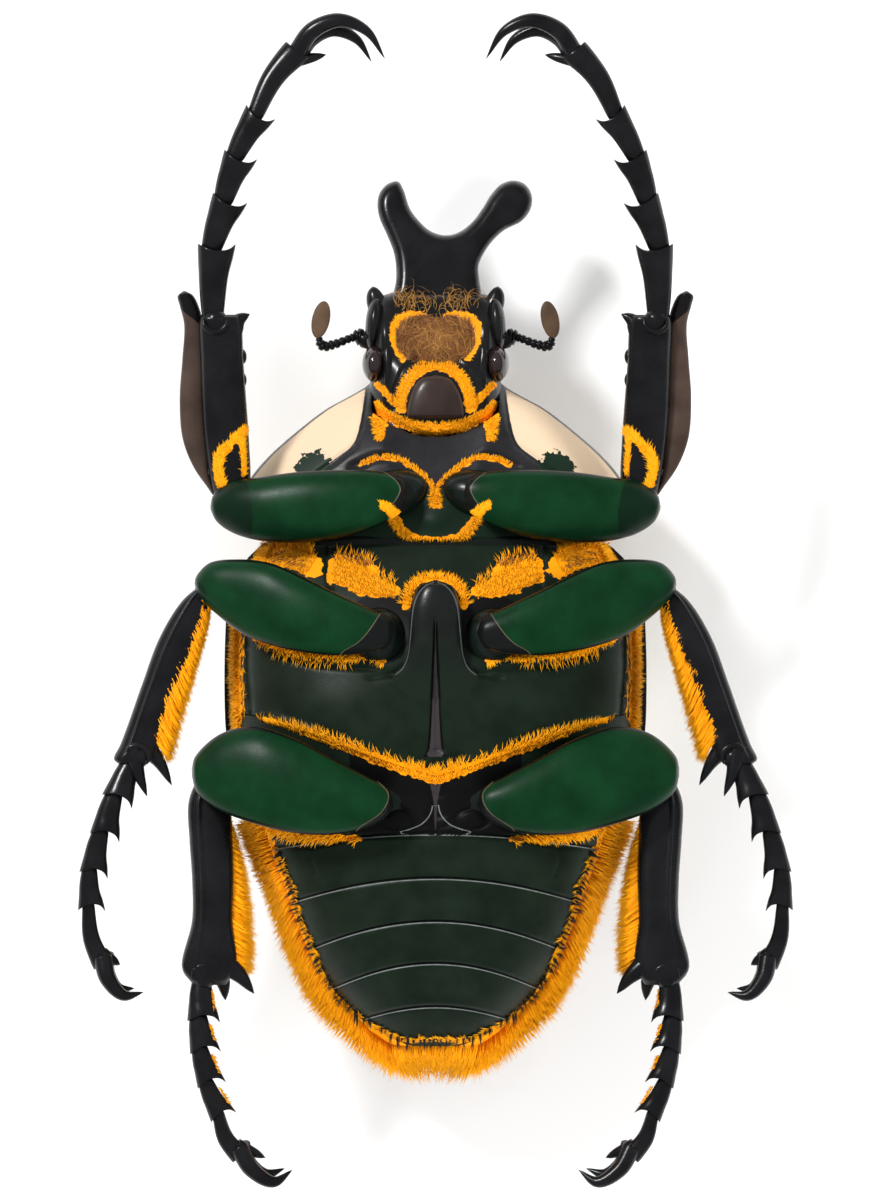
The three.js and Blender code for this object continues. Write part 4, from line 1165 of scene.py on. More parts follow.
HORN_OUTLINE = [
    (-4.9, 33.4), (-4.4, 35.9), (-4.6, 38.6), (-5.4, 40.8), (-6.2, 42.6), (-6.5, 44.1), (-6.3, 45.5),
    (-5.4, 46.6), (-4.2, 46.9), (-3.6, 46.0), (-2.9, 43.9), (-2.0, 42.6), (-0.6, 41.3), (1.1, 40.8),
    (2.7, 41.2), (4.2, 42.4), (5.3, 43.9), (6.3, 45.5), (7.4, 46.6), (8.8, 47.0), (10.1, 46.5),
    (10.8, 45.2), (10.6, 43.7), (9.6, 42.4), (7.7, 41.4), (6.3, 40.1), (5.3, 38.6), (4.8, 37.3),
    (4.9, 35.9), (5.3, 33.4),
]
horn_points = curve(HORN_OUTLINE)(evenly(150))[:, :2]
horn = plate(horn_points, 1.3, 1.25, lean=0.22, level=15.24)
piece("forked_horn", [horn], SHELL, ["horn"])

BROW_TOOTH = [(5.8, 31.8, 15.4), (6.7, 33.6, 15.7), (7.0, 35.0, 15.9)]
BROW_TAPER = [(0, 1.5), (0.7, 0.85), (0.92, 0.45), (1, 0.05)]
EYE_RIDGE = [
    (5.0, 28.9, 18.9), (5.35, 27.6, 19.1), (5.25, 26.2, 19.3), (5.3, 24.6, 19.3), (5.7, 23.4, 18.9),
]
RIDGE_TAPER = [(0, 0.2), (0.3, 0.5), (0.7, 0.5), (1, 0.15)]
head_parts = []
for side in SIDES.values():
    tooth = rod(on_side(side, BROW_TOOTH), BROW_TAPER)
    cheek = egg((6.85 * side, 30.8, 16.9), (0.95, 2.9, 2.0), 5 * side)
    eye_ridge = rod(on_side(side, EYE_RIDGE), RIDGE_TAPER)
    head_parts += [
        loft(tooth, around(28), evenly(20)), loft(cheek, around(36), close_ends(30)),
        loft(eye_ridge, around(16), evenly(28)),
    ]


def brush_mark(points, steps, angles):
    """Above zero in the mouth brush, an ellipse with a notch at its front."""
    x, y, _ = axes(points)
    ellipse = 1 - np.hypot(x / 4.5, (y - MOUTH_Y) / 2.9)
    notch = NOTCH_RADIUS - np.hypot(x, y - NOTCH_Y)
    return np.where(np.sin(angles)[None] > 0, np.where(notch > 0, -1, 3 * ellipse), NOWHERE)


head_skin = loft(
    HEAD.skin, around(170, 0.62), close_ends(120, 0.5), sculpt_head,
    {"hairy": hairy_mark(BANDS["head"]), "brush": brush_mark},
)
piece("head_capsule", [head_skin, *head_parts], HEAD_SHELL, ["head"])

chin_edge = [(0.2, 25.0), (1.6, 24.6), (2.5, 23.4), (3.0, 21.9), (3.15, 20.6), (3.0, 20.2)]
chin = blade(
    on_side(-1, chin_edge), chin_edge,
    [(0, 20.8), (1, 21.2)], [(0, 0.3), (0.3, 1.1), (0.8, 1.1), (1, 0.5)], 2.6,
)
piece("chin", [loft(chin, around(64), close_ends(40))], MENTUM, ["chin_plate"])

FEELER = [
    (6.6, 28.3, 15.0), (8.6, 29.4, 15.2), (9.6, 29.2, 15.4), (11.2, 28.6, 15.6), (12.6, 28.4, 15.8),
    (13.1, 29.4, 15.9),
]
FEELER_TAPER = [(0, 0.9), (0.22, 0.95), (0.32, 0.5), (0.85, 0.58), (1, 0.3)]
for name, side in SIDES.items():
    globe = egg((6.8 * side, 26.35, 17.2), (1.4, 2.05, 2.7))
    piece(f"{name}_eye_globe", [loft(globe, around(48), close_ends(36))], EYE, [f"{name}_eye"])
    feeler = rod(on_side(side, FEELER), FEELER_TAPER, beads=13, bead_depth=0.3)
    scape = egg((7.6 * side, 29.0, 15.3), (1.5, 0.95, 0.95), 24 * side)
    parts = [loft(feeler, around(20), evenly(170)), loft(scape, around(24), close_ends(20))]
    piece(f"{name}_feeler", parts, SHELL, [f"{name}_antenna"])
    leaves = [
        loft(
            egg((12.8 * side, 31.3, 16.0 + lift), (1.0 - 0.1 * abs(lift), 2.1, 0.28), 12 * side),
            around(32), close_ends(30),
        )
        for lift in (-0.45, 0, 0.45)
    ]
    piece(f"{name}_club", leaves, CLUB, [f"{name}_antenna_club"])


# Legs, as distances from the midline and heights over the floor

LEGS = {
    "front": {
        "coxa": ((4.9, 11.7, 22.9), (4.3, 2.7, 3.1), -12),
        "femur": (
            [
                (3.2, 12.0), (3.6, 13.5), (6.0, 14.2), (9.5, 14.4), (15.0, 14.2), (19.5, 13.6),
                (23.0, 13.0), (24.7, 11.6), (25.0, 10.4),
            ],
            [
                (3.2, 11.6), (3.8, 9.9), (6.2, 8.3), (9.5, 7.1), (14.0, 6.4), (19.0, 6.5),
                (22.4, 7.4), (24.3, 8.7), (25.0, 10.0),
            ],
            [(0, 26.6), (0.4, 26.3), (0.6, 24.9), (0.8, 22.7), (1, 21.6)],
            [(0, 0.1), (0.12, 1.5), (0.4, 2.4), (0.65, 2.4), (0.85, 1.9), (0.95, 1.3), (1, 0.05)],
        ),
        "root": [
            (7.0, 5.4), (9.0, 5.2), (10.2, 5.0), (11.2, 4.3), (12.3, 3.9), (13.4, 4.6), (14.6, 6.4),
        ],
        "cap": (32.0, 9.0, 11.8),
        "heel": (12.1, 60.4, 25.2),
        "tibia": (
            [
                (21.2, 10.6), (20.6, 12.8), (20.7, 17.7), (21.0, 22.2), (21.3, 26.6), (21.5, 30.6),
                (21.8, 31.6),
            ],
            [
                (24.2, 10.6), (24.9, 12.8), (25.7, 17.7), (26.0, 22.2), (26.1, 26.6), (26.2, 30.6),
                (26.0, 31.6),
            ],
            [(0, 21.4), (0.3, 22.2), (1, 24.2)],
            [(0, 1.0), (0.15, 1.7), (0.8, 1.9), (0.94, 1.6), (1, 0.9)],
        ),
        "flare": 2.1,
        "tarsus": [
            (24.4, 31.0, 24.2), (24.6, 38.6, 25.6), (23.3, 43.8, 26.2), (22.1, 48.6, 26.6),
            (20.0, 53.4, 26.6), (15.2, 60.6, 25.8),
        ],
        "claws": [
            [
                (15.6, 60.2, 25.8), (13.6, 63.0, 26.6), (10.6, 64.1, 27.0), (7.6, 62.9, 26.8),
                (5.6, 59.9, 26.2),
            ],
            [
                (15.4, 60.0, 25.6), (13.8, 62.2, 25.0), (11.4, 63.2, 24.4), (8.8, 62.2, 24.0),
                (7.1, 59.7, 23.8),
            ],
        ],
        "spurs": [([(22.6, 29.6, 24.0), (21.8, 31.0, 24.1), (20.6, 31.7, 24.3)], 1.2)],
        "knee": (23.4, 11.6, 22.6),
    },
    "middle": {
        "coxa": ((6.2, -4.0, 28.2), (3.2, 3.2, 2.8), 0),
        "femur": (
            [
                (4.6, -3.4), (5.2, -2.0), (7.4, -0.9), (11.8, 1.15), (14.9, 2.7), (18.3, 4.1),
                (21.7, 4.5), (25.0, 4.1), (26.5, 2.6), (26.7, 1.8),
            ],
            [
                (4.6, -3.8), (5.4, -5.2), (8.0, -5.9), (11.6, -6.1), (15.5, -5.6), (18.0, -5.0),
                (21.0, -3.9), (23.6, -2.1), (26.0, 0.2), (26.6, 1.4),
            ],
            [(0, 31.2), (0.3, 30.9), (0.55, 29.2), (0.75, 26.8), (1, 24.6)],
            [(0, 0.1), (0.12, 1.5), (0.4, 2.3), (0.65, 2.3), (0.85, 1.9), (0.95, 1.3), (1, 0.05)],
        ),
        "root": [(-7.0, 10.9), (-5.7, 10.2), (-4.8, 8.7), (-3.6, 7.5), (-1.2, 5.9), (0, 5.2)],
        "cap": (27.0, 0.4, 1.7),
        "heel": (35.0, -40.5, 23.0),
        "tibia": (
            [
                (25.7, 1.9), (28.0, 0.0), (30.5, -4.0), (32.5, -9.3), (34.0, -13.6), (34.9, -16.0),
                (35.6, -17.6), (35.0, -18.2),
            ],
            [
                (24.7, 1.3), (25.0, -0.9), (26.6, -5.4), (28.5, -10.3), (30.0, -14.4),
                (30.6, -16.4), (31.2, -17.6), (32.8, -18.3),
            ],
            [(0, 24.4), (0.3, 24.8), (1, 26.2)],
            [(0, 0.8), (0.15, 1.5), (0.8, 1.8), (0.94, 1.4), (1, 0.8)],
        ),
        "flare": 1.8,
        "tarsus": [
            (33.0, -17.4, 26.2), (35.2, -21.4, 26.6), (36.7, -25.4, 26.4), (38.0, -29.6, 25.8),
            (38.4, -33.6, 25.0), (36.6, -40.4, 23.4),
        ],
        "claws": [
            [(36.9, -39.6, 23.8), (36.3, -42.0, 24.3), (34.6, -43.8, 24.4), (32.4, -43.5, 24.0)],
            [(36.7, -39.4, 23.0), (36.5, -41.4, 22.0), (35.3, -43.1, 21.2), (33.5, -43.2, 20.8)],
        ],
        "spurs": [
            ([(33.4, -16.2, 26.6), (32.9, -18.9, 27.0), (31.9, -21.7, 27.0)], 1.1),
            ([(31.9, -16.4, 25.8), (30.6, -17.9, 25.8), (29.2, -20.5, 25.6)], 1.1),
        ],
        "knee": (25.4, 1.2, 24.9),
        "fringe": (
            [
                (25.6, 0.6, 24.8), (25.9, -1.8, 25.0), (27.5, -5.6, 25.2), (29.2, -9.9, 25.6),
                (31.0, -15.6, 26.0),
            ],
            [
                (24.6, -0.8, 24.6), (25.0, -3.4, 24.6), (26.1, -7.6, 24.8), (27.7, -12.6, 25.2),
                (29.2, -17.8, 25.6),
            ],
        ),
    },
    "hind": {
        "coxa": ((10.2, -20.6, 25.2), (10.2, 3.9, 3.0), 10),
        "femur": (
            [
                (4.6, -22.6), (5.2, -20.8), (7.6, -19.4), (11.4, -17.4), (15.6, -15.2),
                (20.0, -14.0), (23.8, -14.8), (26.6, -17.3), (27.0, -18.6),
            ],
            [
                (4.6, -22.9), (5.8, -24.2), (8.4, -25.4), (12.0, -25.9), (16.3, -25.6),
                (20.6, -24.5), (24.2, -23.1), (26.4, -21.3), (27.0, -19.6),
            ],
            [(0, 30.0), (0.3, 30.2), (0.55, 29.2), (0.75, 27.0), (1, 24.8)],
            [(0, 0.1), (0.12, 1.6), (0.4, 2.5), (0.65, 2.6), (0.85, 2.2), (0.95, 1.5), (1, 0.05)],
        ),
        "cap": (27.6, -20.0, 1.2),
        "heel": (18.9, -62.0, 21.3),
        "root": [(-26.0, 9.0), (-25.1, 8.4), (-23.4, 6.0), (-21.4, 5.2), (-19.8, 6.6), (-18.0, 9.0)],
        "tibia": (
            [
                (26.3, -19.4), (27.4, -22.4), (27.3, -26.6), (27.0, -31.0), (27.0, -35.5),
                (28.1, -40.8), (26.8, -42.7),
            ],
            [
                (23.6, -19.4), (22.8, -22.4), (22.5, -26.6), (22.35, -31.0), (22.45, -35.5),
                (22.0, -40.6), (23.2, -42.6),
            ],
            [(0, 22.6), (0.3, 23.4), (1, 24.6)],
            [(0, 0.8), (0.15, 1.6), (0.8, 1.9), (0.94, 1.5), (1, 0.8)],
        ),
        "flare": 1.8,
        "tarsus": [
            (25.6, -41.8, 24.6), (26.0, -45.9, 24.8), (25.9, -49.4, 24.6), (25.3, -53.1, 24.0),
            (24.1, -56.8, 23.2), (21.4, -61.6, 21.8),
        ],
        "claws": [
            [(21.8, -60.8, 22.2), (20.4, -63.2, 22.6), (18.0, -64.6, 22.6), (15.9, -63.3, 22.2)],
            [(21.6, -60.6, 21.4), (20.8, -62.6, 20.4), (18.9, -63.9, 19.6), (16.8, -63.3, 19.2)],
        ],
        "spurs": [
            ([(23.6, -40.0, 24.6), (21.7, -41.6, 24.8), (20.1, -43.6, 24.8)], 1.3),
            ([(24.0, -40.8, 23.8), (23.5, -42.7, 23.6), (23.3, -44.4, 23.4)], 1.1),
        ],
        "knee": (25.3, -19.8, 23.4),
        "fringe": (
            [
                (24.2, -22.6, 23.0), (23.7, -26.6, 23.2), (23.5, -31.0, 23.6), (23.5, -35.5, 24.0),
                (23.3, -39.6, 24.4),
            ],
            [
                (22.4, -25.0, 22.6), (20.9, -28.6, 22.8), (20.1, -33.0, 23.2), (19.9, -37.4, 23.6),
                (20.3, -41.2, 24.0),
            ],
        ),
    },
}
FLANGE = (
    [
        (24.3, 11.4), (25.2, 14.2), (25.4, 18.2), (25.6, 22.4), (25.6, 26.8), (25.8, 30.6),
        (26.2, 32.4), (26.9, 33.8), (27.7, 34.25),
    ],
    [
        (24.8, 11.8), (26.9, 14.8), (28.1, 18.0), (28.4, 22.4), (28.1, 26.8), (27.9, 30.6),
        (28.4, 32.7), (28.6, 33.7), (28.0, 34.25),
    ],
    [(0, 21.6), (0.3, 22.2), (1, 23.8)],
    [(0, 0.5), (0.5, 0.8), (0.9, 0.8), (1, 0.1)],
)
THIGH_ROUND = 2.1  # roundness of a section: 2 is an ellipse, and more is boxier
SHIN_ROUND = 2.7
SPUR_TAPER = [(0, 1), (0.4, 0.75), (0.8, 0.36), (1, 0.03)]
CLAW_TAPER = [(0, 1.05), (0.3, 0.95), (0.7, 0.6), (0.92, 0.22), (1, 0.03)]
SHIN_PATCH = [
    ([(23.7, 12.6), (24.15, 14.2), (23.9, 15.9), (23.1, 16.9)], (0.8, 1.1), (0.5, 0.8), (-0.6, 0.8)),
    ([(23.2, 17.0), (22.2, 17.8), (21.3, 18.5)], (0.8, 0.9), (0.5, 0.8), (-0.6, 0.8)),
    ([(21.5, 18.4), (21.4, 16.6), (21.3, 13.8)], (0.5, 0.35), (0.5, 0.8), (-0.6, 0.8)),
]
THIGH_PATCH = [([(6.3, 10.5), (5.4, 10.1), (4.6, 9.3)], (0.7, 1.0), (0.5, 0.8), (0.5, 0.8))]


def sided(side, spec):
    front, back, level, thick = spec
    return on_side(side, front), on_side(side, back), level, thick


def thigh_edge_shade(points, steps, angles):
    """Above zero in painted shade along the thigh's two edges, as seen from above, and at its ends."""
    share = np.abs(power(np.cos(angles), 1.0))[None] + 0 * points[..., 0]
    ends = np.minimum(steps, 1 - steps)[:, None]
    return np.maximum(share - 0.93, 0.05 - ends) * 6


def knee_cap(cap, side):
    """Above zero on the dark far end of the thigh, within a circle of the plan."""
    centre_x, centre_y, radius = cap

    def values(points, steps, angles):
        x, y, _ = axes(points)
        return radius - np.hypot(x - centre_x * side, y - centre_y)

    return values


def thigh_root(boundary):
    """Above zero on the dark root of the thigh; zero along its border, where a painted highlight line runs.
    """
    inner = smooth(sorted(boundary))
    return lambda points, steps, angles: inner(points[..., 1]) - np.abs(points[..., 0])


def flange_tip(points, steps, angles):
    """Above zero at the dark end of the flange."""
    return 0.78 * (points[..., 1] - 30.6 - 0.81 * (np.abs(points[..., 0]) - 26.2))


JOINT_WIDTH = [(0, 0.36), (0.06, 0.56), (0.2, 0.66), (0.6, 0.84), (0.86, 1.0), (0.93, 0.9), (1, 0.4)]
JOINT_BOW = [(0, -0.3), (0.5, -0.12), (0.88, 0.3), (1, 0.3)]
LAST_JOINT_BOW = [(0, 0), (0.5, -0.75), (1, 0)]


def foot_joint(start, end, flare, inner, last):
    """One joint of the foot: narrow at its root, with a point on its inner side and a lobe outside."""
    start, end = np.array(start, float), np.array(end, float)
    ahead = end - start
    across = unit(np.cross(UP, unit(ahead * [1, 1, 0])))
    width = smooth(JOINT_WIDTH)
    place = smooth([(0, -0.05), (0.86, 0.97), (0.93, 1.0), (1, 0.9)])
    bow = smooth(LAST_JOINT_BOW if last else JOINT_BOW)

    def skin(t, angle):
        c, s = np.cos(angle), np.sin(angle)
        half = (flare * width(t))[:, None]
        near = np.exp(-(((t - 0.88) / 0.09) ** 2))[:, None] * (0.3 if last else 1)
        point, lobe = near * np.maximum(c * inner, 0) ** 5, near * np.maximum(-c * inner, 0) ** 1.5
        centre = start + ahead * place(t)[:, None]
        aside = half * c + (0.2 * point + bow(t)[:, None]) * inner
        further = (0.75 * point + 0.95 * lobe)[..., None]
        out = centre[:, None] + across * aside[..., None] + unit(ahead) * further
        out[..., 2] += half * s * 0.78
        return out

    return skin


def ridged(skin, is_ridged):
    """A shin's skin with a low ridge along its upper face, nearer to its outer edge, if it has one."""
    if not is_ridged:
        return skin

    def ridge(t, angle):
        points = skin(t, angle)
        height = 0.22 * np.exp(-(((np.cos(angle) - 0.38) / 0.09) ** 2)) * (np.sin(angle) > 0)
        points[..., 2] += height * (np.clip(np.minimum(t - 0.04, 0.9 - t) / 0.08, 0, 1))[:, None]
        return points

    return ridge


SOCKET_LIP = 1.35  # radius and height of the lip round the foot's socket
LIP_TAPER = [(0, 0.05), (0.2, 0.3), (0.8, 0.3), (1, 0.05)]


def shin_parts(leg, pair, side):
    """The shin, its knee, its spurs, the foot's socket and, on a front leg, the teeth of its edge."""
    is_front = pair == "front"
    patch = hairy_mark(SHIN_PATCH) if is_front else no_mark
    skin = ridged(blade(*sided(side, leg["tibia"]), SHIN_ROUND), not is_front)
    knee = egg((leg["knee"][0] * side, *leg["knee"][1:]), (1.25, 1.25, 1.4))
    parts = [
        loft(skin, around(84, 0.66), close_ends(110), marks={"hairy": patch}),
        loft(knee, around(32), close_ends(24)),
    ]
    for path, size in leg["spurs"]:
        taper = [(t, size * r) for t, r in SPUR_TAPER]
        parts.append(loft(rod(on_side(side, path), taper), around(20), close_ends(22, 0.5)))
    socket, next_joint = (np.array(joint) for joint in leg["tarsus"][:2])
    cuff = egg((socket[0] * side, socket[1], socket[2] + 0.3), (1.3, 1.3, 1.2))
    parts.append(loft(cuff, around(32), close_ends(24)))
    inward = unit(socket - next_joint) * [1, 1, 0]
    across = np.cross(inward, UP)
    lip = [
        socket + (inward * math.sin(a) + across * math.cos(a)) * SOCKET_LIP + UP * SOCKET_LIP
        for a in np.linspace(-0.1, math.pi + 0.1, 7)
    ]
    parts.append(loft(rod(on_side(side, lip), LIP_TAPER), around(16), evenly(32)))
    if is_front:
        teeth = [egg((21.45 * side, y, 22.8), (0.5, 0.85, 0.7)) for y in (21.6, 24.4, 27.0)]
        parts += [loft(tooth, around(20), close_ends(16)) for tooth in teeth]
    return parts


def foot_parts(leg, pair, side):
    """The joints of the foot, and the long spur at its end between the claws."""
    joints = on_side(side, leg["tarsus"])
    inner = side if pair == "front" else -side
    last_flare = 1.6 if pair == "front" else 1.2
    parts = []
    for k, (start, end) in enumerate(zip(joints[:-1], joints[1:])):
        last = k == len(joints) - 2
        flare = last_flare if last else leg["flare"] * 0.95 - 0.1 * k
        parts.append(loft(foot_joint(start, end, flare, inner, last), around(44), evenly(46)))
    before, end, tip = (np.array(spot) for spot in (*leg["tarsus"][-2:], leg["heel"]))
    back = end - unit(end - before) * 1.3
    taper = [(t, 0.75 * r) for t, r in SPUR_TAPER]
    spur = rod(on_side(side, [back, (back + 2 * tip) / 3, tip]), taper)
    return [*parts, loft(spur, around(20), close_ends(20))]


def build_leg(name, pair, side):
    leg = LEGS[pair]
    label = f"{name}_{pair}"
    centre, sizes, turn = leg["coxa"]
    coxa = egg((centre[0] * side, *centre[1:]), sizes, turn * side)
    piece(f"{label}_hip", [loft(coxa, around(56), close_ends(44))], HIP, [f"{label}_coxa"])
    thigh = loft(
        blade(*sided(side, leg["femur"]), THIGH_ROUND), around(96, 0.6), close_ends(110),
        marks={"rim": thigh_edge_shade, "root": thigh_root(leg["root"]), "cap": knee_cap(leg["cap"], side)},
    )
    piece(f"{label}_thigh", [thigh], THIGH, [f"{label}_femur"])
    if pair == "front":
        skin = blade(*sided(side, FLANGE))
        flange = loft(skin, around(48), close_ends(100), marks={"tip": flange_tip})
        piece(f"{label}_flange", [flange], BROWN_SHELL, ())
    piece(f"{label}_shin", shin_parts(leg, pair, side), SHIN, [f"{label}_tibia"])
    piece(f"{label}_tarsus", foot_parts(leg, pair, side), SHELL, [f"{label}_foot"])
    claws = [loft(rod(on_side(side, claw), CLAW_TAPER), around(28), evenly(44)) for claw in leg["claws"]]
    piece(f"{label}_claw_pair", claws, SHELL, [f"{label}_claws"])


for name, side in SIDES.items():
    for pair in LEGS:
        build_leg(name, pair, side)


# Coat of bristles

def on_trunk(trunk, x, y, sculpt):
    """Points, outward normals and unwrapped places on the underside over points of the plan."""
    step = 0.05
    z = trunk.top(x, y)
    slope_x = (trunk.top(np.abs(x) + step, y) - z) / step * np.sign(x)
    slope_y = (trunk.top(x, y + step) - z) / step
    points = sculpt(np.stack([x, y, z], axis=1))
    normals = np.stack([-slope_x, -slope_y, np.ones_like(x)], axis=1)
    return points, unit(normals), trunk.unwrap(x, y)


def band_roots(band, density, seed):
    """Roots and ways in the plan for one band and its mirror image."""
    path, widths, first, last = band
    draw = np.random.default_rng(seed)
    line = curve(path)
    length = np.linalg.norm(np.diff(line(evenly(40)), axis=0), axis=1).sum()
    count = int(density * length * sum(widths) / 2)
    t = draw.uniform(0, 1, count)
    spot = line(t)
    ahead = unit(heading(line, t, 0.02))
    across = np.stack([-ahead[:, 1], ahead[:, 0]], axis=1)
    offset = draw.uniform(-0.5, 0.5, count) * (widths[0] + (widths[1] - widths[0]) * t)
    spread = draw.normal(0, 0.28, (count, 2))
    way = np.array(first) * (1 - t)[:, None] + np.array(last) * t[:, None]
    place = spot[:, :2] + across * offset[:, None]
    x = np.concatenate([place[:, 0], -place[:, 0]])
    y = np.concatenate([place[:, 1], place[:, 1]])
    way = unit(way) + spread
    ways = np.concatenate([way, way * [-1, 1]])
    return x, y, ways


def lay(normals, ways, lift):
    """Ways laid on the skin and lifted a little off it."""
    flat = np.column_stack([ways, np.zeros(len(ways))])
    flat = flat - normals * np.sum(flat * normals, axis=1)[:, None]
    return unit(flat) + normals * lift


def coat_band(
    name, trunk, bands, sculpt, density, length, seed, lift=0.45, finish=GOLD, width=0.17,
):
    """Tufts on a trunk along bands of both sides, as one piece."""
    found = [band_roots(band, density, seed + k) for k, band in enumerate(bands)]
    x, y, ways = (np.concatenate([f[i] for f in found]) for i in range(3))
    points, normals, places = on_trunk(trunk, x, y, sculpt)
    way = lay(normals, ways, lift)
    lengths = np.full(len(x), length)
    tufts(name, points, way, normals, lengths, places, finish, width, seed=seed)


def flat_sculpt(sculpt):
    """A sculpting function for points in a row."""
    return lambda points: sculpt(points[None])[0]


HEAD_TOP, SHIELD_TOP = flat_sculpt(sculpt_head), flat_sculpt(sculpt_shield)
BREAST_TOP, BELLY_TOP = flat_sculpt(sculpt_thorax), flat_sculpt(sculpt_belly)
for name, trunk, sculpt, group, density, length, seed, lift, width in (
    ("head", HEAD, HEAD_TOP, "head", 60, 0.5, 11, 0.35, 0.14),
    ("prosternum", SHIELD, SHIELD_TOP, "fore", 56, 0.6, 21, 0.45, 0.15),
    ("breast", HIND_BODY, BREAST_TOP, "patches", 40, 0.9, 31, 0.45, 0.15),
    ("seam", HIND_BODY, BREAST_TOP, "seams", 44, 0.75, 41, 0.45, 0.15),
    ("flank", HIND_BODY, BELLY_TOP, "flanks", 34, 0.9, 51, 0.45, 0.17),
):
    coat_band(
        f"{name}_bristles", trunk, BANDS[group], sculpt, density, length, seed, lift, width=width,
    )

PATCH_BROWN = [
    ([(17.7, 5.0), (15.8, 4.75), (14.1, 4.2)], (1.1, 1.1), (0.7, -0.4), (0.7, -0.5)),
    ([(11.0, 4.6), (9.0, 4.2), (7.0, 3.4)], (0.8, 0.7), (0.3, 1), (0.3, 1)),
]
coat_band(
    "breast_brown_bristles", HIND_BODY, PATCH_BROWN, BREAST_TOP, 11, 1.0, 61, lift=0.75,
    finish=BROWN_HAIR, width=0.11,
)

SPIKES = [
    (
        [(20.0, -13.3), (14.0, -14.5), (10.0, -15.8), (3.0, -18.2), (0, -19.1)],
        (0.25, 0.25), (0.1, 1), (0, 1),
    ),
    ([(11.2, 4.9), (9.4, 5.1), (7.6, 4.6), (6.0, 2.6), (4.4, 1.7)], (0.25, 0.25), (-0.2, 1), (-0.1, 1)),
    ([(18.0, -5.4), (13.4, -6.5), (9.6, -6.6)], (0.25, 0.25), (0, -1), (0, -1)),
    ([(21.3, -3.4), (21.4, -8.0), (21.2, -12.4)], (0.2, 0.2), (-0.8, -0.5), (-0.8, -0.5)),
]
coat_band("breast_spiky_edges", HIND_BODY, SPIKES, BREAST_TOP, 26, 1.3, 63, width=0.13)

OVERHANG = [
    ([(18.3, 6.0), (18.6, 5.0), (19.4, 3.6), (20.6, 2.0)], (0.7, 0.7), (1, 0.4), (1, 0.1)),
    ([(18.4, 5.9), (16.0, 5.9), (13.8, 5.2)], (0.6, 0.4), (0.3, 1), (-0.7, 0.6)),
    ([(22.0, -1.2), (22.05, -8.0), (21.85, -14.8)], (0.5, 0.5), (1, 0.1), (1, -0.2)),
    ([(20.9, -20.6), (20.2, -23.4), (19.2, -27.0)], (0.9, 0.9), (1, -0.2), (0.9, -0.5)),
]
coat_band("overhanging_bristles", HIND_BODY, OVERHANG, BREAST_TOP, 130, 1.25, 66, lift=1.5)


def mouth_brush(name, count, length, finish, width, curl, seed, rings=3):
    """Bristles over the mouth, lying every way within an ellipse with a notch at its front."""
    draw = np.random.default_rng(seed)
    x, y = draw.uniform(-4.4, 4.4, 4 * count), draw.uniform(26.2, 31.9, 4 * count)
    in_brush = (np.hypot(x / 4.4, (y - MOUTH_Y) / 2.8) < 1) & (np.hypot(x, y - NOTCH_Y) > NOTCH_RADIUS)
    x, y = x[in_brush][:count], y[in_brush][:count]
    points, normals, places = on_trunk(HEAD, x, y, HEAD_TOP)
    ways = np.column_stack([0.12 * x, 0.5 + 0 * y]) + draw.normal(0, 0.55, (len(x), 2))
    way = lay(normals, ways, 0.55)
    tufts(
        name, points, way, normals, np.full(len(x), length), places, finish, width, 0.4, curl,
        rings, seed,
    )


mouth_brush("mouth_brush", 2600, 1.2, BROWN_HAIR, 0.17, 0.5, 71)
mouth_brush("mouth_gold_threads", 330, 2.1, WIRE, 0.09, 1.8, 72, 6)


def brow_curls():
    """Long curly threads at the foot of the horn."""
    draw = np.random.default_rng(77)
    count = 84
    side = draw.choice([-1, 1], count)
    x, y = draw.uniform(0.9, 4.3, count) * side, draw.uniform(32.2, 33.9, count)
    points, normals, places = on_trunk(HEAD, x, y, HEAD_TOP)
    turn = draw.uniform(0.1, math.pi - 0.1, count)
    ways = np.column_stack([np.cos(turn), np.sin(turn)])
    way = lay(normals, ways, 0.9)
    lengths = draw.uniform(2.6, 5.0, count)
    tufts("brow_curls", points, way, normals, lengths, places, WIRE, 0.085, 0.1, 4.5, 10, 78)


brow_curls()


TAIL_CLUMPS = 76
BORDER_CLUMPS = 62
SHIN_CLUMPS = 26


def clumped(t, count):
    """Steps drawn towards the nearest of some clumps, and how far off it each one was, from 0 to 1."""
    clump = (np.floor(np.minimum(t, 0.9999) * count) + 0.5) / count
    return clump + 0.2 * (t - clump), np.abs(t - clump) * 2 * count


def tail_fringe():
    """The long fringe round the tail, from the border of the belly out over the wing cases."""
    draw = np.random.default_rng(5)
    count = 17000
    t = draw.uniform(0, 1, count) ** 0.95
    depth = draw.uniform(0, 1, count) ** 0.8
    gathered, off_clump = clumped(t, TAIL_CLUMPS)
    root, tip = curve(FRINGE_ROOTS)(t)[:, :2], curve(FRINGE_TIPS)(gathered)[:, :2]
    side = draw.choice([-1, 1], count)
    y = np.maximum(root[:, 1] - depth, BODY_END + 0.2 + 0.3 * draw.uniform(0, 1, count))
    share = np.clip(root[:, 0] / HIND_BODY.section(y)[0], 0, 0.985)
    angle = np.arccos(share ** (HIND_BODY.over / 2))
    angle = angle * (1 - 0.96 * depth * np.minimum(root[:, 0] / 5, 1))
    spots = HIND_BODY.points(y, angle)
    points, normals, places = on_trunk(HIND_BODY, spots[:, 0] * side, y, BELLY_TOP)
    points[:, 2] = spots[:, 2]
    ends = np.column_stack([tip[:, 0] * side, tip[:, 1], CASES.rim(y) + 1.7])
    ends[:, :2] += draw.normal(0, 0.08, (count, 2))
    ways = ends - points
    far = np.linalg.norm(ways, axis=1)
    lengths = np.minimum(far * (1.14 - 0.3 * off_clump), 1.7 + 3.4 * depth)
    ways = unit(ways) + normals * (0.35 * (1 - depth))[:, None]
    tufts("tail_fringe", points, ways, normals, lengths, places, GOLD, 0.19, 0.08, seed=6)


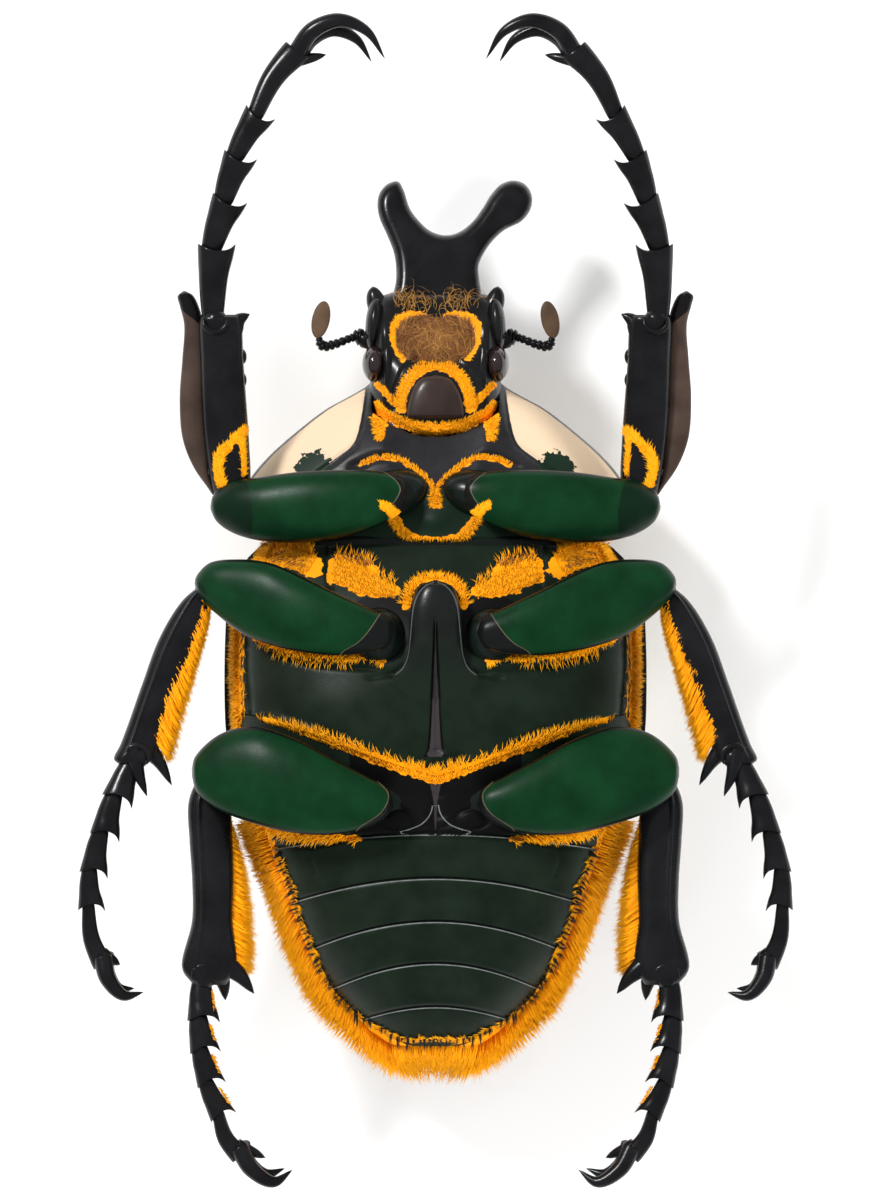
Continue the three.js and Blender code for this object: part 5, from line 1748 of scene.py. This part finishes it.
def belly_border(name, finish, inward, count, length, lift, width, further, last_root):
    """Bristles in clumps along the border of the bare belly, pointing in over it or out from it."""
    line = curve(BELLY_BORDER)
    draw = np.random.default_rng(7 + inward)
    which = draw.integers(7, BORDER_CLUMPS, count)
    own_place, own_length, own_lean = (draw.uniform(-1, 1, BORDER_CLUMPS)[which] for _ in range(3))
    clump = (which + 0.5 - 0.25 * inward + 0.3 * own_place) / BORDER_CLUMPS
    t = np.clip(clump + draw.normal(0, 0.12 / BORDER_CLUMPS, count), 0, 1)
    spot = line(t)[:, :2]
    ahead = unit(heading(line, t, 0.02)[:, :2])
    into = np.column_stack([ahead[:, 1], -ahead[:, 0]])
    spot = spot + into * (draw.uniform(-0.2, 0.3, count) + 0.2 + further)[:, None]
    side = draw.choice([-1, 1], count)
    x, y = np.maximum(spot[:, 0], 0.02) * side, np.maximum(spot[:, 1], BODY_END + last_root)
    points, normals, places = on_trunk(HIND_BODY, x, y, BELLY_TOP)
    gather = (clump - t) * BORDER_CLUMPS * 0.5
    ways = into * inward + ahead * (0.3 + 0.35 * own_lean + gather)[:, None]
    ways = ways * np.column_stack([side, side**2]) + draw.normal(0, 0.05, (count, 2))
    way = lay(normals, ways, lift)
    lengths = length * (1 + 0.4 * own_length) * (1 + 0.25 * np.clip((-44 - y) / 5, 0, 1))
    label = f"belly_border_{name}_bristles"
    tufts(label, points, way, normals, lengths, places, finish, width, 0.05, 0.08, seed=8 + inward)


def shin_fringe(label, roots, tips, side, count, seed):
    """A fringe in clumps from a line of roots on the shin to a line of tips."""
    draw = np.random.default_rng(seed)
    t = draw.uniform(0, 1, count)
    gathered, off_clump = clumped(t, SHIN_CLUMPS)
    root, tip = curve(on_side(side, roots))(t), curve(on_side(side, tips))(np.minimum(gathered + 0.03, 1))
    angle = draw.normal(0, 0.9, count)
    start = root + (tip - root) * draw.uniform(-0.1, 0.3, (count, 1))
    start[:, 2] += 1.0 * np.sin(angle)
    aim = (tip - start) * (1.02 - 0.28 * off_clump)[:, None]
    aim[:, 2] *= 0.6
    aim[:, :2] += draw.normal(0, 0.07, (count, 2))
    far = np.linalg.norm(aim, axis=1)
    normals = np.tile(UP, (count, 1))
    places = (0.5 + angle / TURN * 0.5, t)
    tufts(f"{label}_fringe", start, aim, normals, far, places, GOLD, 0.17, 0.05, seed=seed)


def scatter(skin, t, angle):
    """Points and outward normals of a skin at pairs of steps and angles."""
    size = 80
    grid = skin(evenly(size), TURN * evenly(size))
    way = np.cross(np.gradient(grid, axis=0), np.gradient(grid, axis=1))
    out = grid - grid.mean(axis=1, keepdims=True)
    way = unit(way * np.sign(np.sum(way * out, axis=2, keepdims=True)))
    u, v = t * size, (angle % TURN) / TURN * size
    i, j = np.minimum(u.astype(int), size - 1), np.minimum(v.astype(int), size - 1)
    a, b = (u - i)[:, None], (v - j)[:, None]

    def at(g):
        before = g[i, j] * (1 - b) + g[i, j + 1] * b
        after = g[i + 1, j] * (1 - b) + g[i + 1, j + 1] * b
        return before * (1 - a) + after * a

    return at(grid), unit(at(way))


def leg_patch(name, skin, bands, span, length, side, seed):
    """Tufts on a leg's skin within bands of the plan, over a span of the leg's length."""
    draw = np.random.default_rng(seed)
    tries = 9000
    t, angle = draw.uniform(*span, tries), draw.uniform(0.05, math.pi - 0.05, tries)
    points, normals = scatter(skin, t, angle)
    near = band_distance(bands, points[:, 0], points[:, 1]) > 0
    points, normals, t, angle = points[near], normals[near], t[near], angle[near]
    count = len(t)
    ways = np.array([-0.3 * side, 1.0]) + draw.normal(0, 0.4, (count, 2))
    way = lay(normals, ways, 0.4)
    tufts(name, points, way, normals, np.full(count, length), (angle / TURN, t), GOLD, 0.16, seed=seed)


def foot_tufts(label, side, seed):
    """Small tufts on the inner side of the hind foot's joints."""
    draw = np.random.default_rng(seed)
    joints = np.array(on_side(side, LEGS["hind"]["tarsus"]))
    count = 70
    roots, ways = [], []
    for k in range(4):
        ahead = unit(joints[k + 1] - joints[k])
        inward = unit(np.cross(UP, ahead)) * -np.sign(np.cross(UP, ahead)[0] * side)
        t = draw.uniform(0.3, 0.85, (count, 1))
        half = 0.75 + 1.0 * t
        height = draw.normal(0, 0.35, (count, 1))
        roots.append(joints[k] + (joints[k + 1] - joints[k]) * t + inward * half * 0.85 + UP * height)
        ways.append(inward * 1.0 + ahead * 0.9 + draw.normal(0, 0.3, (count, 3)))
    roots, ways = np.concatenate(roots), np.concatenate(ways)
    lengths = draw.uniform(0.35, 0.7, len(roots))
    places = (draw.uniform(0.1, 0.9, len(roots)), draw.uniform(0.1, 0.9, len(roots)))
    tufts(
        f"{label}_foot_tufts", roots, ways, np.tile(UP, (len(roots), 1)), lengths, places, GOLD,
        0.12, 0.1, seed=seed,
    )


belly_border("gold", GOLD, 1, 2200, 1.5, 0.12, 0.14, 0.0, 1.0)
belly_border("black", BLACK_HAIR, -1, 1300, 1.2, 0.8, 0.1, 0.5, 1.7)
for k, (name, side) in enumerate(SIDES.items()):
    front = LEGS["front"]
    shin = blade(*sided(side, front["tibia"]), SHIN_ROUND)
    leg_patch(f"{name}_shin_patch", shin, SHIN_PATCH, (0.05, 0.4), 0.7, side, 111 + k)
    thigh = blade(*sided(side, front["femur"]), THIGH_ROUND)
    leg_patch(f"{name}_thigh_patch", thigh, THIGH_PATCH, (0.0, 0.25), 0.5, side, 115 + k)
    foot_tufts(f"{name}_hind", side, 121 + k)
tail_fringe()
for name, side in SIDES.items():
    for k, pair in enumerate(("middle", "hind")):
        roots, tips = LEGS[pair]["fringe"]
        shin_fringe(f"{name}_{pair}", roots, tips, side, 3200, 91 + k + 2 * side)


# Floor, lights and camera

def floor():
    bm = bmesh.new()
    bmesh.ops.create_grid(bm, x_segments=1, y_segments=1, size=1.5)
    mesh = bpy.data.meshes.new("floor")
    bm.to_mesh(mesh)
    bm.free()
    material, _, shader = start_material("pale_floor", 0.8)
    shader.inputs["Base Color"].default_value = colour(0.9, 0.9, 0.89)
    mesh.materials.append(material)
    obj = bpy.data.objects.new("floor", mesh)
    bpy.context.scene.collection.objects.link(obj)


def softbox(name, place, size, watts, shines=True):
    """A light aimed at the beetle. One that does not shine lights it without being mirrored in it."""
    data = bpy.data.lights.new(name, "AREA")
    data.shape = "RECTANGLE"
    data.size, data.size_y = size
    data.energy = watts
    lamp = bpy.data.objects.new(name, data)
    lamp.location = place
    aim = (-lamp.location).to_track_quat("-Z", "Y")
    lamp.rotation_euler = aim.to_euler()
    lamp.visible_glossy = shines
    bpy.context.scene.collection.objects.link(lamp)


PHOTO_SIZE = (871, 1200)
PHOTO_SCALE = 9.02  # pixels of the photograph for each millimetre
LEGS_LEVEL = 24.0  # height at which the scale holds
LENS = 300.0
SENSOR = 36.0


def camera():
    data = bpy.data.cameras.new("camera")
    data.lens = LENS
    data.sensor_width = SENSOR
    field = PHOTO_SIZE[1] / PHOTO_SCALE
    cam = bpy.data.objects.new("camera", data)
    height = field * LENS / SENSOR + LEGS_LEVEL
    cam.location = (0, SHIFT[1] * MM, height * MM)
    data.clip_start, data.clip_end = 0.01, 10
    bpy.context.scene.collection.objects.link(cam)
    bpy.context.scene.camera = cam


floor()
softbox("key", (-0.42, 0.4, 0.55), (0.14, 0.14), 6.2)
softbox("fill", (0.6, 0.12, 0.38), (0.2, 0.2), 3.3, False)
softbox("back", (0.0, -0.6, 0.36), (0.3, 0.16), 3.3, False)
world = bpy.data.worlds.new("room")
world.use_nodes = True
world.node_tree.nodes["Background"].inputs["Color"].default_value = colour(0.95, 0.97, 1.0)
world.node_tree.nodes["Background"].inputs["Strength"].default_value = 0.42
bpy.context.scene.world = world
bpy.context.scene.view_settings.view_transform = "Standard"
camera()
